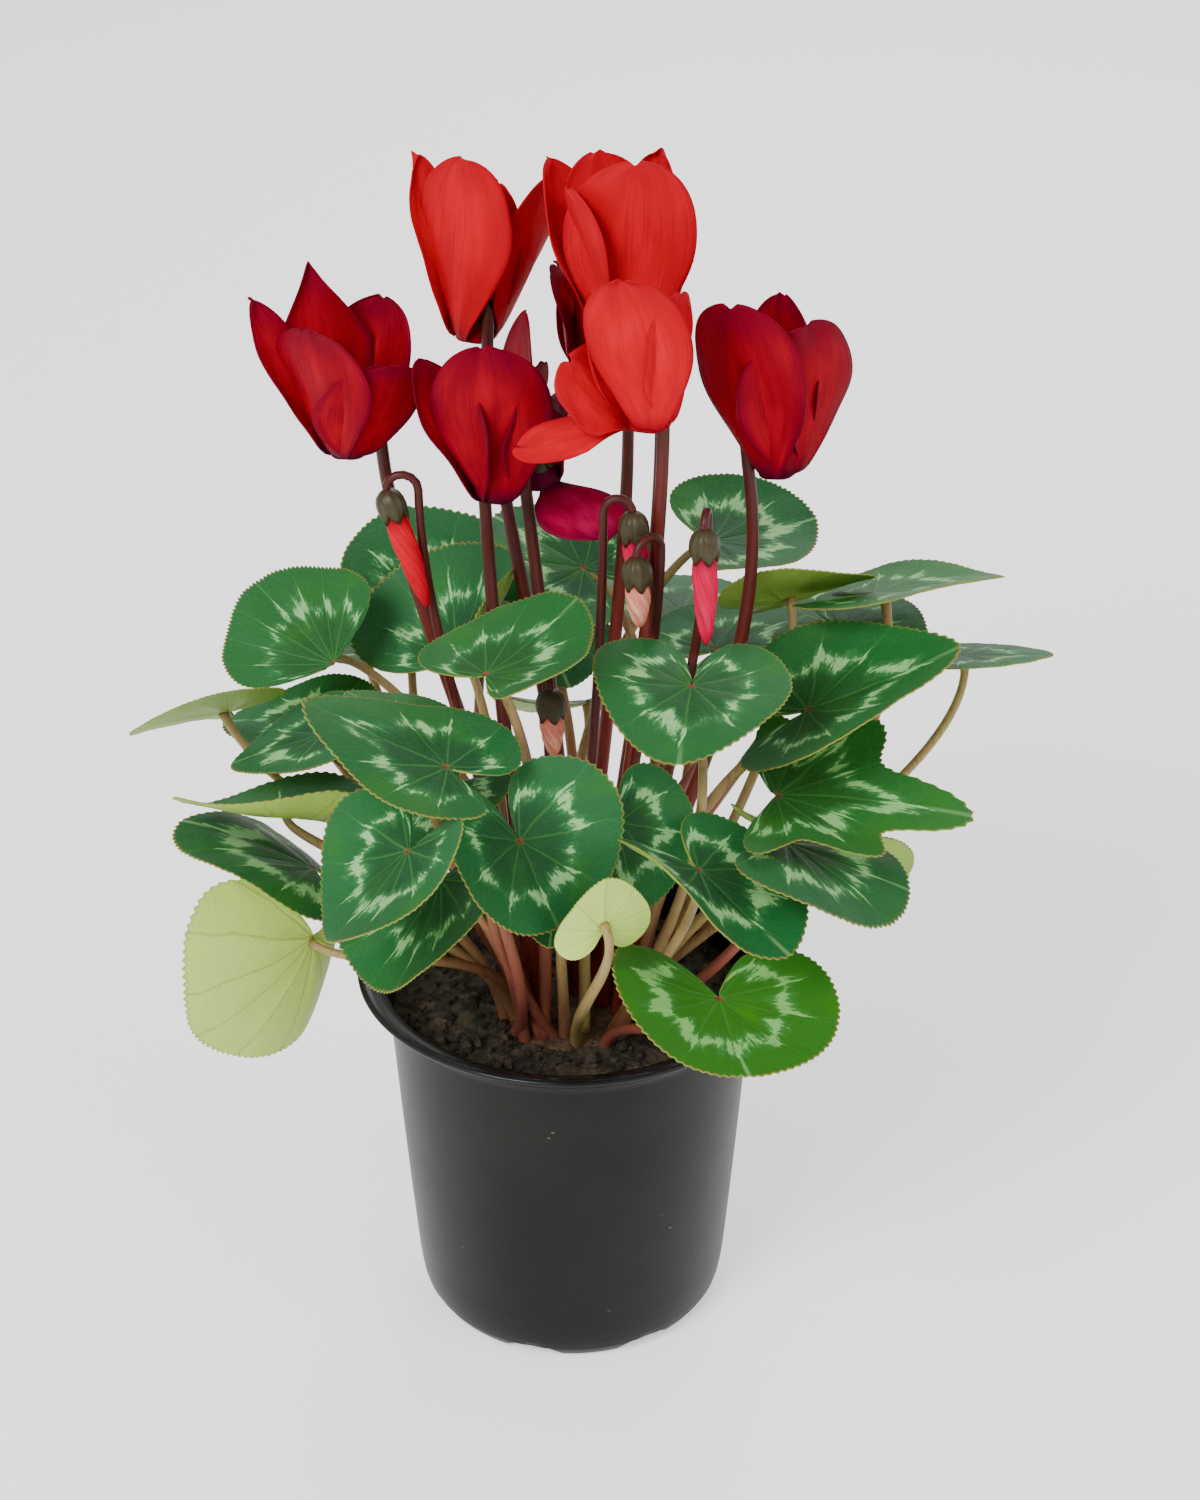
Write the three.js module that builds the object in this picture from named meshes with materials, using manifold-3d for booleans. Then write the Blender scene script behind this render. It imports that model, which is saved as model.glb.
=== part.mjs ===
import * as THREE from 'three';
import { mergeVertices } from 'three/addons/utils/BufferGeometryUtils.js';
import Module from 'manifold-3d';

// Potted cyclamen. Millimetres, +Z up, the pot's axis on x = y = 0 and its feet on z = 0.
// The side that the flowers and the tidiest leaves face is -Y.

const wasm = await Module();
wasm.setup();

// Pot: a thermoformed nursery pot of 13 cm.
const potHeight = 118;
const rimRadius = 65;
const lipInner = 61.5;
const neckRadius = 56.4;
const stepDrop = 9;
const footRadius = 45;
const footTop = 3;
const potWall = 1.2;
const potFloor = 2.4;
const notchCount = 8;
const notchWidth = 17;
const notchHeight = 4.5;
const notchTurn = 30;
const potSides = 24;

// Inside of the pot wall, as radius and height: its foot and its step.
const wallFoot = [47, 7.4];
const wallStep = [55, 109];

// Soil: fills the pot, stays clear of its wall, and has a dish round the tuber.
const soilLevel = 103;
const soilClear = 0.3;
const soilRipple = 0.9;
const dishTop = 33;
const dishFoot = 24;
const dishDepth = 9;

// Tuber: a flattened, half buried ball that every stalk grows from.
const tuberCentre = new THREE.Vector3(0, -6, 96);
const tuberSize = new THREE.Vector3(25, 24, 12);

// Thicknesses and the gap between a blade or bloom and its stalk.
const bladeThickness = 0.8;
const petalThickness = 0.8;
const seatGap = 0.3;

// Leaves: teeth round the edge, the place of the ring of points inside it, and the radii
// on the tuber that the leaf stalks start from in turn.
const leafTeeth = 16;
const toothDepth = 0.045;
const cornerStep = 48;
const edgeEnd = 0.96;
const innerRing = 0.56;
const rootRings = [20, 14, 17];

// Stalk radii, at the root and at the end.
const leafStalk = [1.9, 1.1];
const flowerStalk = [2.3, 1.7];
const budStalk = [1.7, 1.2];
const stalkSides = 4;

const colours = {
  pot: 0x1d1c1b,
  soil: 0x2a1c12,
  crown: 0x7a4630,
  leaf: 0x2c6a41,
  scarlet: 0xd81420,
  crimson: 0x9c0718,
  magenta: 0xa80a34,
  bud: 0xe8323c,
};

const up = new THREE.Vector3(0, 0, 1);
const rad = (degrees) => degrees * Math.PI / 180;
const lerp = (a, b, t) => a + (b - a) * t;

function material(colour, roughness) {
  return new THREE.MeshStandardMaterial({ color: colour, roughness, metalness: 0 });
}

// Closed meshes from rows of points -------------------------------------------------

function geometryOf(points, triangles) {
  const geometry = new THREE.BufferGeometry();
  const flat = new Float32Array(points.flatMap((p) => [p.x, p.y, p.z]));
  geometry.setAttribute('position', new THREE.BufferAttribute(flat, 3));
  geometry.setIndex(triangles.flat());
  return geometry;
}

function solidOf(geometry) {
  const clean = geometry.clone();
  clean.deleteAttribute('normal');
  clean.deleteAttribute('uv');
  const merged = mergeVertices(clean, 1e-4);
  const mesh = new wasm.Mesh({
    numProp: 3,
    vertProperties: new Float32Array(merged.attributes.position.array),
    triVerts: new Uint32Array(merged.index.array),
  });
  return new wasm.Manifold(mesh);
}

function geometryFromSolid(solid) {
  const mesh = solid.getMesh();
  const geometry = new THREE.BufferGeometry();
  geometry.setAttribute('position', new THREE.BufferAttribute(new Float32Array(mesh.vertProperties), 3));
  geometry.setIndex(new THREE.BufferAttribute(new Uint32Array(mesh.triVerts), 1));
  return geometry;
}

// A stalk along a list of points; its radius runs from the first to the last value, and
// its end is cut square to endAlong.
function sweep(points, [startRadius, endRadius], endAlong) {
  const sides = stalkSides;
  const rings = [];
  const triangles = [];
  let side = new THREE.Vector3(1, 0, 0);
  const last = points.length - 1;
  points.forEach((point, i) => {
    const ahead = points[Math.min(i + 1, last)];
    const behind = points[Math.max(i - 1, 0)];
    const along = i === last && endAlong ? endAlong : ahead.clone().sub(behind).normalize();
    side = side.clone().addScaledVector(along, -side.dot(along)).normalize();
    const across = along.clone().cross(side);
    const radius = lerp(startRadius, endRadius, i / last);
    for (let k = 0; k < sides; k += 1) {
      const turn = 2 * Math.PI * k / sides;
      rings.push(point.clone()
        .addScaledVector(side, radius * Math.cos(turn))
        .addScaledVector(across, radius * Math.sin(turn)));
    }
  });
  for (let i = 0; i < last; i += 1) {
    for (let k = 0; k < sides; k += 1) {
      const a = i * sides + k;
      const b = i * sides + (k + 1) % sides;
      triangles.push([a, b, b + sides], [a, b + sides, a + sides]);
    }
  }
  const top = last * sides;
  for (let k = 1; k < sides - 1; k += 1) {
    triangles.push([0, k + 1, k], [top, top + k, top + k + 1]);
  }
  return geometryOf(rings, triangles);
}

// A thin sheet over an open grid of points: both faces split alike, with a wall all round.
function sheet(rows, thickness) {
  const rowCount = rows.length;
  const width = rows[0].length;
  const at = (i, j) => rows[Math.max(0, Math.min(rowCount - 1, i))][Math.max(0, Math.min(width - 1, j))];
  const front = [];
  const back = [];
  for (let i = 0; i < rowCount; i += 1) {
    for (let j = 0; j < width; j += 1) {
      const along = at(i + 1, j).clone().sub(at(i - 1, j));
      const across = at(i, j + 1).clone().sub(at(i, j - 1));
      const normal = along.cross(across).normalize();
      front.push(at(i, j).clone().addScaledVector(normal, thickness / 2));
      back.push(at(i, j).clone().addScaledVector(normal, -thickness / 2));
    }
  }
  const triangles = [];
  const offset = front.length;
  const quad = (a, b, c, d) => triangles.push([a, b, c], [a, c, d]);
  for (let i = 0; i < rowCount - 1; i += 1) {
    for (let j = 0; j < width - 1; j += 1) {
      const a = i * width + j;
      triangles.push([a, a + width, a + width + 1], [a, a + width + 1, a + 1]);
      const b = a + offset;
      triangles.push([b, b + width + 1, b + width], [b, b + 1, b + width + 1]);
    }
  }
  const rim = [];
  for (let j = 0; j < width; j += 1) rim.push(j);
  for (let i = 1; i < rowCount; i += 1) rim.push(i * width + width - 1);
  for (let j = width - 2; j >= 0; j -= 1) rim.push((rowCount - 1) * width + j);
  for (let i = rowCount - 2; i > 0; i -= 1) rim.push(i * width);
  rim.forEach((a, k) => {
    const b = rim[(k + 1) % rim.length];
    quad(a, b, b + offset, a + offset);
  });
  return geometryOf([...front, ...back], triangles);
}

// Leaves --------------------------------------------------------------------------

// Edge of a blade in its own plane: a blunt heart, with a sinus of 2 x gap at the stalk.
// An angular leaf draws in by corner between its tip and the corners beside it.
function bladeReach(leaf, share) {
  const angle = Math.abs(share) * rad(180 - leaf.gap);
  const shoulder = 0.8 * leaf.wide;
  const heart = shoulder + (1 - shoulder) * Math.exp(-Math.pow(angle / rad(30), 1.6));
  const drawn = 1 - leaf.corner * (0.5 - 0.5 * Math.cos(2 * Math.PI * angle / rad(cornerStep)));
  return heart * drawn * Math.sqrt(1 - Math.pow(Math.abs(share), 8));
}

// Point of the blade's middle surface: out is 0 at the stalk and 1 at the edge,
// share runs from -1 to 1 round the edge. The sides fold up by cup, the tip bends
// down by arch, and three waves run round the edge.
function bladePoint(leaf, out, share) {
  const angle = share * rad(180 - leaf.gap);
  const reach = bladeReach(leaf, share);
  const x = reach * out * Math.cos(angle);
  const y = reach * out * Math.sin(angle);
  const ripple = leaf.wave * out * out * reach * Math.sin(3 * angle + leaf.phase);
  const z = leaf.cup * y * y - leaf.arch * x * Math.abs(x) + ripple;
  return leaf.at.clone()
    .addScaledVector(leaf.tip, leaf.length * x)
    .addScaledVector(leaf.left, leaf.length * y)
    .addScaledVector(leaf.face, leaf.length * z);
}

function makeLeaf(name, at, [heading, pitch, roll], [length, wide, gap, corner = 0], [cup, arch, wave, phase], bend) {
  const tip = new THREE.Vector3(
    Math.cos(rad(heading)) * Math.cos(rad(pitch)),
    Math.sin(rad(heading)) * Math.cos(rad(pitch)),
    -Math.sin(rad(pitch)),
  );
  const level = new THREE.Vector3(-Math.sin(rad(heading)), Math.cos(rad(heading)), 0);
  const over = tip.clone().cross(level);
  const left = level.clone().multiplyScalar(Math.cos(rad(roll))).addScaledVector(over, Math.sin(rad(roll)));
  const face = over.clone().multiplyScalar(Math.cos(rad(roll))).addScaledVector(level, -Math.sin(rad(roll)));
  const place = new THREE.Vector3(...at);
  return { name, at: place, tip, left, face, length, wide, gap, corner, cup, arch, wave, phase, bend };
}

// Blade as one thin solid: a fan round the stalk, a ring of half as many points, and
// the toothed edge, whose points step in and out in turn.
function bladeGeometry(leaf) {
  const middle = [leaf.at.clone()];
  const inner = [];
  const outer = [];
  const innerCount = leafTeeth / 2;
  const normalAt = (out, share) => {
    const d = 0.04;
    const along = bladePoint(leaf, out + d, share).sub(bladePoint(leaf, out - d, share));
    const round = bladePoint(leaf, out, share + d).sub(bladePoint(leaf, out, share - d));
    return along.cross(round).normalize();
  };
  const normals = [leaf.face.clone()];
  for (let i = 0; i <= innerCount; i += 1) {
    const share = lerp(-edgeEnd, edgeEnd, i / innerCount);
    inner.push(middle.length);
    middle.push(bladePoint(leaf, innerRing, share));
    normals.push(normalAt(innerRing, share));
  }
  for (let i = 0; i <= leafTeeth; i += 1) {
    const share = lerp(-edgeEnd, edgeEnd, i / leafTeeth);
    const tooth = i % 2 === 0 ? 1 : 1 - toothDepth;
    outer.push(middle.length);
    middle.push(bladePoint(leaf, tooth, share));
    normals.push(normalAt(0.95, share));
  }
  const face = [];
  for (let i = 0; i < innerCount; i += 1) {
    face.push([0, inner[i], inner[i + 1]]);
    face.push([inner[i], outer[2 * i], outer[2 * i + 1]]);
    face.push([inner[i], outer[2 * i + 1], inner[i + 1]]);
    face.push([inner[i + 1], outer[2 * i + 1], outer[2 * i + 2]]);
  }
  const half = bladeThickness / 2;
  const top = middle.map((p, i) => p.clone().addScaledVector(normals[i], half));
  const bottom = middle.map((p, i) => p.clone().addScaledVector(normals[i], -half));
  const n = middle.length;
  const triangles = [...face, ...face.map(([a, b, c]) => [a + n, c + n, b + n])];
  const rim = [0, inner[0], ...outer, inner[innerCount]];
  rim.forEach((a, k) => {
    const b = rim[(k + 1) % rim.length];
    triangles.push([a, a + n, b + n], [a, b + n, b]);
  });
  return geometryOf([...top, ...bottom], triangles);
}

// Where a leaf's stalk ends: just under the blade's flat heart, 2 mm in from the sinus,
// with the direction that stands square to it there.
function stalkSeat(leaf) {
  const middle = bladePoint(leaf, innerRing, 0);
  const along = middle.clone().sub(leaf.at).normalize();
  const across = bladePoint(leaf, innerRing, 0.16).sub(bladePoint(leaf, innerRing, -0.16));
  const square = along.clone().cross(across).normalize();
  const end = leaf.at.clone().addScaledVector(along, 2)
    .addScaledVector(square, -bladeThickness / 2 - seatGap);
  return { end, square };
}

// Root of a leaf stalk in the tuber, on the side that the stalk leans to.
function rootToward(target, spread) {
  const away = new THREE.Vector3(target.x - tuberCentre.x, target.y - tuberCentre.y, 0);
  const reach = Math.min(spread, 0.4 * away.length());
  const foot = away.setLength(reach);
  return new THREE.Vector3(tuberCentre.x + foot.x, tuberCentre.y + foot.y, tuberCentre.z + 5);
}

// Leaf stalk: rises from the tuber and meets the blade from below. bend holds the
// sideways swing, the rise at the root and the reach under the blade.
function petiolePoints(leaf, steps) {
  const [swing, rise, reach] = leaf.bend;
  const { end, square } = stalkSeat(leaf);
  const root = rootToward(end, rootRings[Number(leaf.name.slice(5)) % 3]);
  const flat = new THREE.Vector3(end.x - root.x, end.y - root.y, 0).normalize();
  const side = new THREE.Vector3(-flat.y, flat.x, 0);
  const first = root.clone().addScaledVector(up, rise).addScaledVector(side, swing).addScaledVector(flat, 6);
  const second = end.clone().addScaledVector(square, -reach).addScaledVector(side, swing / 2);
  return new THREE.CubicBezierCurve3(root, first, second, end).getPoints(steps);
}

// Blooms --------------------------------------------------------------------------

// Corolla tube: radius and height above its open mouth, which hangs lowest. The stalk
// rises beside it at stalkOffset and hooks over from hookRise.
const tubeProfile = [[0, 4], [4.6, 0], [5.8, 0], [4.6, 5], [3, 7], [0, 7]];
const tubeTop = 7;
const calyxProfile = [[0, 0], [3.7, 0], [3.3, 2], [0, 3.6]];
const stalkOffset = 8.5;
const hookRise = 9;
const clawWidth = 6.5;
const widestAt = 0.6;
const petalTurn = 15;

function turned(profile, sides) {
  const points = profile.map(([radius, height]) => new THREE.Vector2(radius, height));
  const geometry = new THREE.LatheGeometry(points, sides);
  geometry.rotateX(Math.PI / 2);
  return geometry;
}

function petal(azimuth, length, width, flare, twist, extra = {}) {
  return { azimuth, length, width, flare, twist, curl: 0, lean: 0, cup: 0.2, point: 0, tilt: 0, ...extra };
}

// Half width along a petal: a claw at the mouth, widest past the middle, blunt or
// pointed at the tip.
function petalHalfWidth(p, s) {
  const claw = clawWidth / p.width;
  const swell = claw + (1 - claw) * Math.pow(Math.sin(Math.PI / 2 * Math.min(1, s / widestAt)), 1.35);
  const past = Math.max(0, s - widestAt) / (1 - widestAt);
  const round = Math.sqrt(1 - 0.95 * Math.pow(past, 2.2));
  return p.width / 2 * swell * round * (1 - 0.85 * p.point * past);
}

// Point of a petal's middle surface, with the mouth at the origin and the axis up: it
// leaves the mouth outward, turns up, and spreads by flare and curl. Its upper part leans
// sideways by lean, turns about the axis by twist, and stands on edge by tilt.
function petalPoint(p, s, across) {
  const bend = 2.4 / p.length;
  const ease = 1 - Math.exp(-s / bend);
  const radial = 5 + 1.6 * ease + p.length * (Math.sin(rad(p.flare)) * s + p.curl * s * s);
  const rise = 0.7 + p.length * Math.cos(rad(p.flare)) * (s - bend * ease);
  const shift = p.length * p.lean * s * s;
  const half = petalHalfWidth(p, s);
  const turn = rad(petalTurn + p.twist * s);
  const side = across * half * Math.cos(turn) * Math.cos(rad(p.tilt));
  const out = across * half * Math.sin(turn) - p.cup * half * across * across * Math.cos(turn);
  const ripple = 0.9 * s * Math.sin(7 * s + 2.4 * across + p.azimuth);
  const r = radial + out + ripple;
  const t = shift + side;
  const a = rad(p.azimuth);
  const z = rise + across * half * Math.sin(rad(p.tilt)) * Math.min(1, 3 * s);
  return new THREE.Vector3(r * Math.cos(a) - t * Math.sin(a), r * Math.sin(a) + t * Math.cos(a), z);
}

function petalGeometry(p) {
  const stations = [0, 0.22, 0.52, 0.8, 1];
  const shares = [-1, 0, 1];
  return sheet(stations.map((s) => shares.map((across) => petalPoint(p, s, across))), petalThickness);
}

function makeBloom(name, colour, mouth, [leanAzimuth, lean], gapAzimuth, root, reach, petals) {
  const axis = new THREE.Vector3(
    Math.sin(rad(lean)) * Math.cos(rad(leanAzimuth)),
    Math.sin(rad(lean)) * Math.sin(rad(leanAzimuth)),
    Math.cos(rad(lean)),
  );
  const stand = new THREE.Quaternion().setFromUnitVectors(up, axis);
  const place = new THREE.Matrix4().compose(new THREE.Vector3(...mouth), stand, new THREE.Vector3(1, 1, 1));
  const gap = new THREE.Vector3(Math.cos(rad(gapAzimuth)), Math.sin(rad(gapAzimuth)), 0);
  return { name, colour, axis, place, gap, root, reach, petals };
}

function bloomGeometry(bloom) {
  const pieces = [turned(tubeProfile, 6), ...bloom.petals.map(petalGeometry)];
  const solid = pieces.map(solidOf).reduce((joined, piece) => joined.add(piece));
  const geometry = geometryFromSolid(solid);
  geometry.applyMatrix4(bloom.place);
  return geometry;
}

// Flower stalk: up from the tuber, between two petals, over in a hook and down to the
// calyx on top of the tube.
function flowerStalkPoints(bloom) {
  const local = (out, rise) => bloom.gap.clone().multiplyScalar(out).setZ(rise).applyMatrix4(bloom.place);
  const root = new THREE.Vector3(bloom.root[0], bloom.root[1], tuberCentre.z + 5);
  const entry = local(stalkOffset, -4);
  const first = root.clone().addScaledVector(up, 45);
  const second = entry.clone().addScaledVector(bloom.axis, -bloom.reach);
  const points = new THREE.CubicBezierCurve3(root, first, second, entry).getPoints(5);
  points.push(local(stalkOffset, hookRise));
  const radius = stalkOffset / 2;
  [45, 90, 135].forEach((turn) => {
    points.push(local(radius + radius * Math.cos(rad(turn)), hookRise + radius * Math.sin(rad(turn))));
  });
  points.push(local(0, hookRise));
  return points;
}

// Buds ----------------------------------------------------------------------------

const budNeck = 3.4;
const calyxLength = 7.5;

// A bud hangs from its hook: at is where the calyx begins, tip is where the bud ends.
function makeBud(name, at, tip, hookSide, hookRadius, root, reach) {
  const top = new THREE.Vector3(...at);
  const end = new THREE.Vector3(...tip);
  const hang = end.clone().sub(top).normalize();
  const side = new THREE.Vector3(Math.cos(rad(hookSide)), Math.sin(rad(hookSide)), 0);
  return { name, top, end, hang, side, hookRadius, root, reach };
}

function budStalkPoints(bud) {
  const centre = bud.top.clone().addScaledVector(bud.side, bud.hookRadius);
  const arc = [180, 135, 90, 45, 0].map((turn) => centre.clone()
    .addScaledVector(bud.side, bud.hookRadius * Math.cos(rad(turn)))
    .addScaledVector(up, bud.hookRadius * Math.sin(rad(turn))));
  const root = new THREE.Vector3(bud.root[0], bud.root[1], tuberCentre.z + 5);
  const first = root.clone().addScaledVector(up, 40);
  const second = arc[4].clone().addScaledVector(up, -bud.reach);
  const rise = new THREE.CubicBezierCurve3(root, first, second, arc[4]).getPoints(5);
  return [...rise, ...arc.slice(0, 4).reverse(), bud.top.clone().addScaledVector(bud.hang, 1)];
}

// Solid round a hanging axis, from [distance, radius] pairs, with ridges that wind round it.
function spindle(start, along, rings, ridge, winding, sides) {
  const across = along.clone().cross(new THREE.Vector3(0, 1, 0)).normalize();
  const over = along.clone().cross(across);
  const points = [];
  const triangles = [];
  rings.forEach(([distance, radius]) => {
    for (let k = 0; k < sides; k += 1) {
      const turn = 2 * Math.PI * k / sides + winding * distance;
      const reach = radius * (k % 2 === 0 ? 1 : 1 - ridge);
      points.push(start.clone().addScaledVector(along, distance)
        .addScaledVector(across, reach * Math.cos(turn))
        .addScaledVector(over, reach * Math.sin(turn)));
    }
  });
  const last = rings.length - 1;
  for (let i = 0; i < last; i += 1) {
    for (let k = 0; k < sides; k += 1) {
      const a = i * sides + k;
      const b = i * sides + (k + 1) % sides;
      triangles.push([a, b, b + sides], [a, b + sides, a + sides]);
    }
  }
  const top = last * sides;
  for (let k = 1; k < sides - 1; k += 1) {
    triangles.push([0, k + 1, k], [top, top + k, top + k + 1]);
  }
  return geometryOf(points, triangles);
}

function budGeometry(bud) {
  const start = bud.top.clone().addScaledVector(bud.hang, calyxLength + seatGap);
  const length = bud.end.distanceTo(start);
  const rings = [[0, budNeck * 0.8], [0.2 * length, budNeck], [0.55 * length, budNeck * 0.9],
    [0.85 * length, budNeck * 0.55], [length, budNeck * 0.2]];
  return spindle(start, bud.hang, rings, 0.2, 1.6 / length, 8);
}

function budCalyxGeometry(bud) {
  const rings = [[0, 1.4], [1.8, 3.4], [5.2, 4.1], [calyxLength, 3.5]];
  return spindle(bud.top, bud.hang, rings, 0.06, 0, 6);
}

// Where everything stands ---------------------------------------------------------

// Name, the stalk's end, heading / pitch / roll in degrees, length, width factor and
// half sinus, cup / arch / wave / phase, and the stalk's swing, rise and reach.
const leaves = [
  makeLeaf('leaf_01', [-32, -69, 224], [162, -18, 0], [44, 0.78, 22], [0.12, 0.04, 0.06, 1.1], [-24, 50, 4]),
  makeLeaf('leaf_02', [-42, -84, 207], [-136, 41, 19], [33, 1.19, 41], [0.25, -0.12, 0.1, 0.5], [-26, 95, 14]),
  makeLeaf('leaf_03', [-36, -45, 174], [-106, 37, 35], [37, 1.27, 60], [0.32, -0.12, -0.11, -2.7], [0, 35, 22]),
  makeLeaf('leaf_04', [-13, -67, 200], [-48, 50, 5], [27, 1.28, 8], [0.48, 0.09, 0.05, 2.1], [-6, 10, 44]),
  makeLeaf('leaf_05', [34, -45, 236], [-97, 6, -3], [33, 1.06, 8], [0.22, 0.09, 0.05, -0.5], [26, 35, 44]),
  makeLeaf('leaf_06', [68, -20, 215], [-3, -25, 6], [48, 0.85, 19], [0.36, -0.06, 0.04, -2.7], [-6, 95, 4]),
  makeLeaf('leaf_07', [59, -34, 195], [-6, -6, 5], [56, 0.93, 62, 0.3], [0.2, 0.16, 0.06, -0.4], [44, 35, 8]),
  makeLeaf('leaf_08', [61, -48, 188], [-5, 19, -12], [39, 1.25, 46], [-0.16, 0.04, 0.1, 0], [26, 35, 4]),
  makeLeaf('leaf_09', [36, -66, 190], [-43, 20, -17], [37, 1, 22], [0.34, 0, 0.09, -0.3], [18, 35, 32]),
  makeLeaf('leaf_10', [14, -49, 195], [-71, 53, -14], [27, 1.12, 12], [0.06, 0.03, -0.05, 0.4], [0, 95, 32]),
  makeLeaf('leaf_11', [10, -81, 180], [-77, -82, 10], [19, 0.95, 24], [0.04, 0.05, 0.05, 1], [-4, 20, 20]),
  makeLeaf('leaf_12', [42, -74, 153], [-78, 15, -12], [33, 1.28, 27], [0.22, -0.12, 0.03, 0.4], [0, 20, 22]),
  makeLeaf('leaf_13', [-76, -20, 139], [-134, 57, 78], [44, 1.28, 58], [0.45, -0.12, -0.12, -2.2], [0, 35, 22]),
  makeLeaf('leaf_14', [-74, -28, 167], [155, -19, 26], [43, 1.06, 37], [-0.24, 0.14, 0.11, -2.8], [0, 35, 8]),
  makeLeaf('leaf_15', [-79, -25, 183], [-179, -6, 27], [35, 1.24, 8], [0.28, 0.02, 0.1, 1.1], [0, 50, 8]),
  makeLeaf('leaf_16', [-101, 13, 197], [-143, -13, 35], [34, 0.94, 48], [0.12, 0.08, -0.04, 2.6], [-34, 20, 44]),
  makeLeaf('leaf_17', [-69, 12, 213], [138, -26, -26], [38, 1.08, 106], [0.12, 0.06, 0.05, 1.3], [-44, 50, 4]),
  makeLeaf('leaf_18', [-34, 23, 210], [60, -40, -27], [36, 1.28, 58], [0.59, -0.12, 0.08, 0.5], [0, 35, 14]),
  makeLeaf('leaf_19', [-43, 65, 207], [117, -44, -5], [35, 1.12, 18], [0.31, 0.05, 0.05, -1.9], [34, 20, 4]),
  makeLeaf('leaf_20', [-22, -48, 241], [38, -17, -9], [36, 1.04, 58], [0.18, -0.05, 0.08, 0.7], [6, 95, 14]),
  makeLeaf('leaf_21', [-41, -33, 215], [155, -22, 11], [25, 1.04, 16], [0.04, 0.07, 0.03, 0], [34, 35, 4]),
  makeLeaf('leaf_22', [-72, -6, 199], [178, 15, 1], [29, 1, 15], [0.12, 0.1, 0.03, 0], [-6, 70, 14]),
  makeLeaf('leaf_23', [-76, 32, 184], [167, 4, -4], [32, 0.9, 15], [0.1, 0.1, 0.03, 0], [0, 35, 22]),
  makeLeaf('leaf_24', [-3, -40, 166], [-97, 12, 3], [20, 0.8, 15], [0.13, 0.1, -0.03, 0], [0, 20, 22]),
  makeLeaf('leaf_25', [-9, 44, 209], [-68, 17, -1], [26, 1.05, 14], [0.09, 0.08, 0.03, 1], [-12, 50, 4]),
  makeLeaf('leaf_26', [-36, -16, 187], [-143, 15, 0], [30, 1, 14], [0.16, 0.08, 0.06, 2], [0, 35, 32]),
  makeLeaf('leaf_27', [4, 54, 224], [158, -27, -13], [33, 1, 15], [0.17, 0.1, 0.03, 0], [-44, 50, 8]),
  makeLeaf('leaf_28', [43, 48, 236], [11, -6, 7], [33, 1.14, 55], [0.28, -0.02, -0.06, -2.6], [44, 50, 4]),
  makeLeaf('leaf_29', [63, 21, 230], [-14, -28, -33], [29, 1, 15], [0.25, 0.1, 0.01, 0], [-6, 10, 32]),
  makeLeaf('leaf_30', [90, 19, 233], [-18, -18, -15], [39, 1.05, 22], [0.1, 0.05, 0.05, 2.7], [-34, 10, 44]),
  makeLeaf('leaf_31', [82, 32, 215], [-39, -4, 5], [27, 1.12, 8], [0.03, 0.06, 0.03, -0.5], [6, 95, 14]),
  makeLeaf('leaf_32', [116, 27, 208], [-22, -12, -16], [30, 1.01, 19], [-0, 0.03, -0.01, -1.4], [-18, 35, 32]),
  makeLeaf('leaf_33', [44, 31, 208], [31, -11, -2], [34, 1, 15], [0.11, 0.1, 0.01, 0], [12, 50, 8]),
  makeLeaf('leaf_34', [80, 6, 150], [75, 60, 0], [30, 1, 15], [0.2, 0.1, 0.04, 0], [0, 35, 8]),
  makeLeaf('leaf_35', [-23, 86, 203], [84, -7, -1], [40, 1.05, 18], [0.28, 0.12, 0.02, 1], [26, 35, 32]),
  makeLeaf('leaf_36', [35, 80, 196], [80, 5, 5], [42, 1, 18], [0.12, 0.12, 0.05, 2], [-26, 35, 32]),
  makeLeaf('leaf_37', [76, 63, 201], [46, 3, 0], [39, 1.05, 18], [0.17, 0.12, 0.04, 0.5], [0, 35, 32]),
  makeLeaf('leaf_38', [-64, 74, 188], [130, 7, 8], [43, 1, 18], [0.1, 0.12, 0.07, 2.5], [0, 35, 32]),
  makeLeaf('leaf_39', [5, 58, 176], [100, 25, 0], [36, 1.1, 18], [0.15, 0.12, 0.05, 3], [0, 35, 22]),
];

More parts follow.
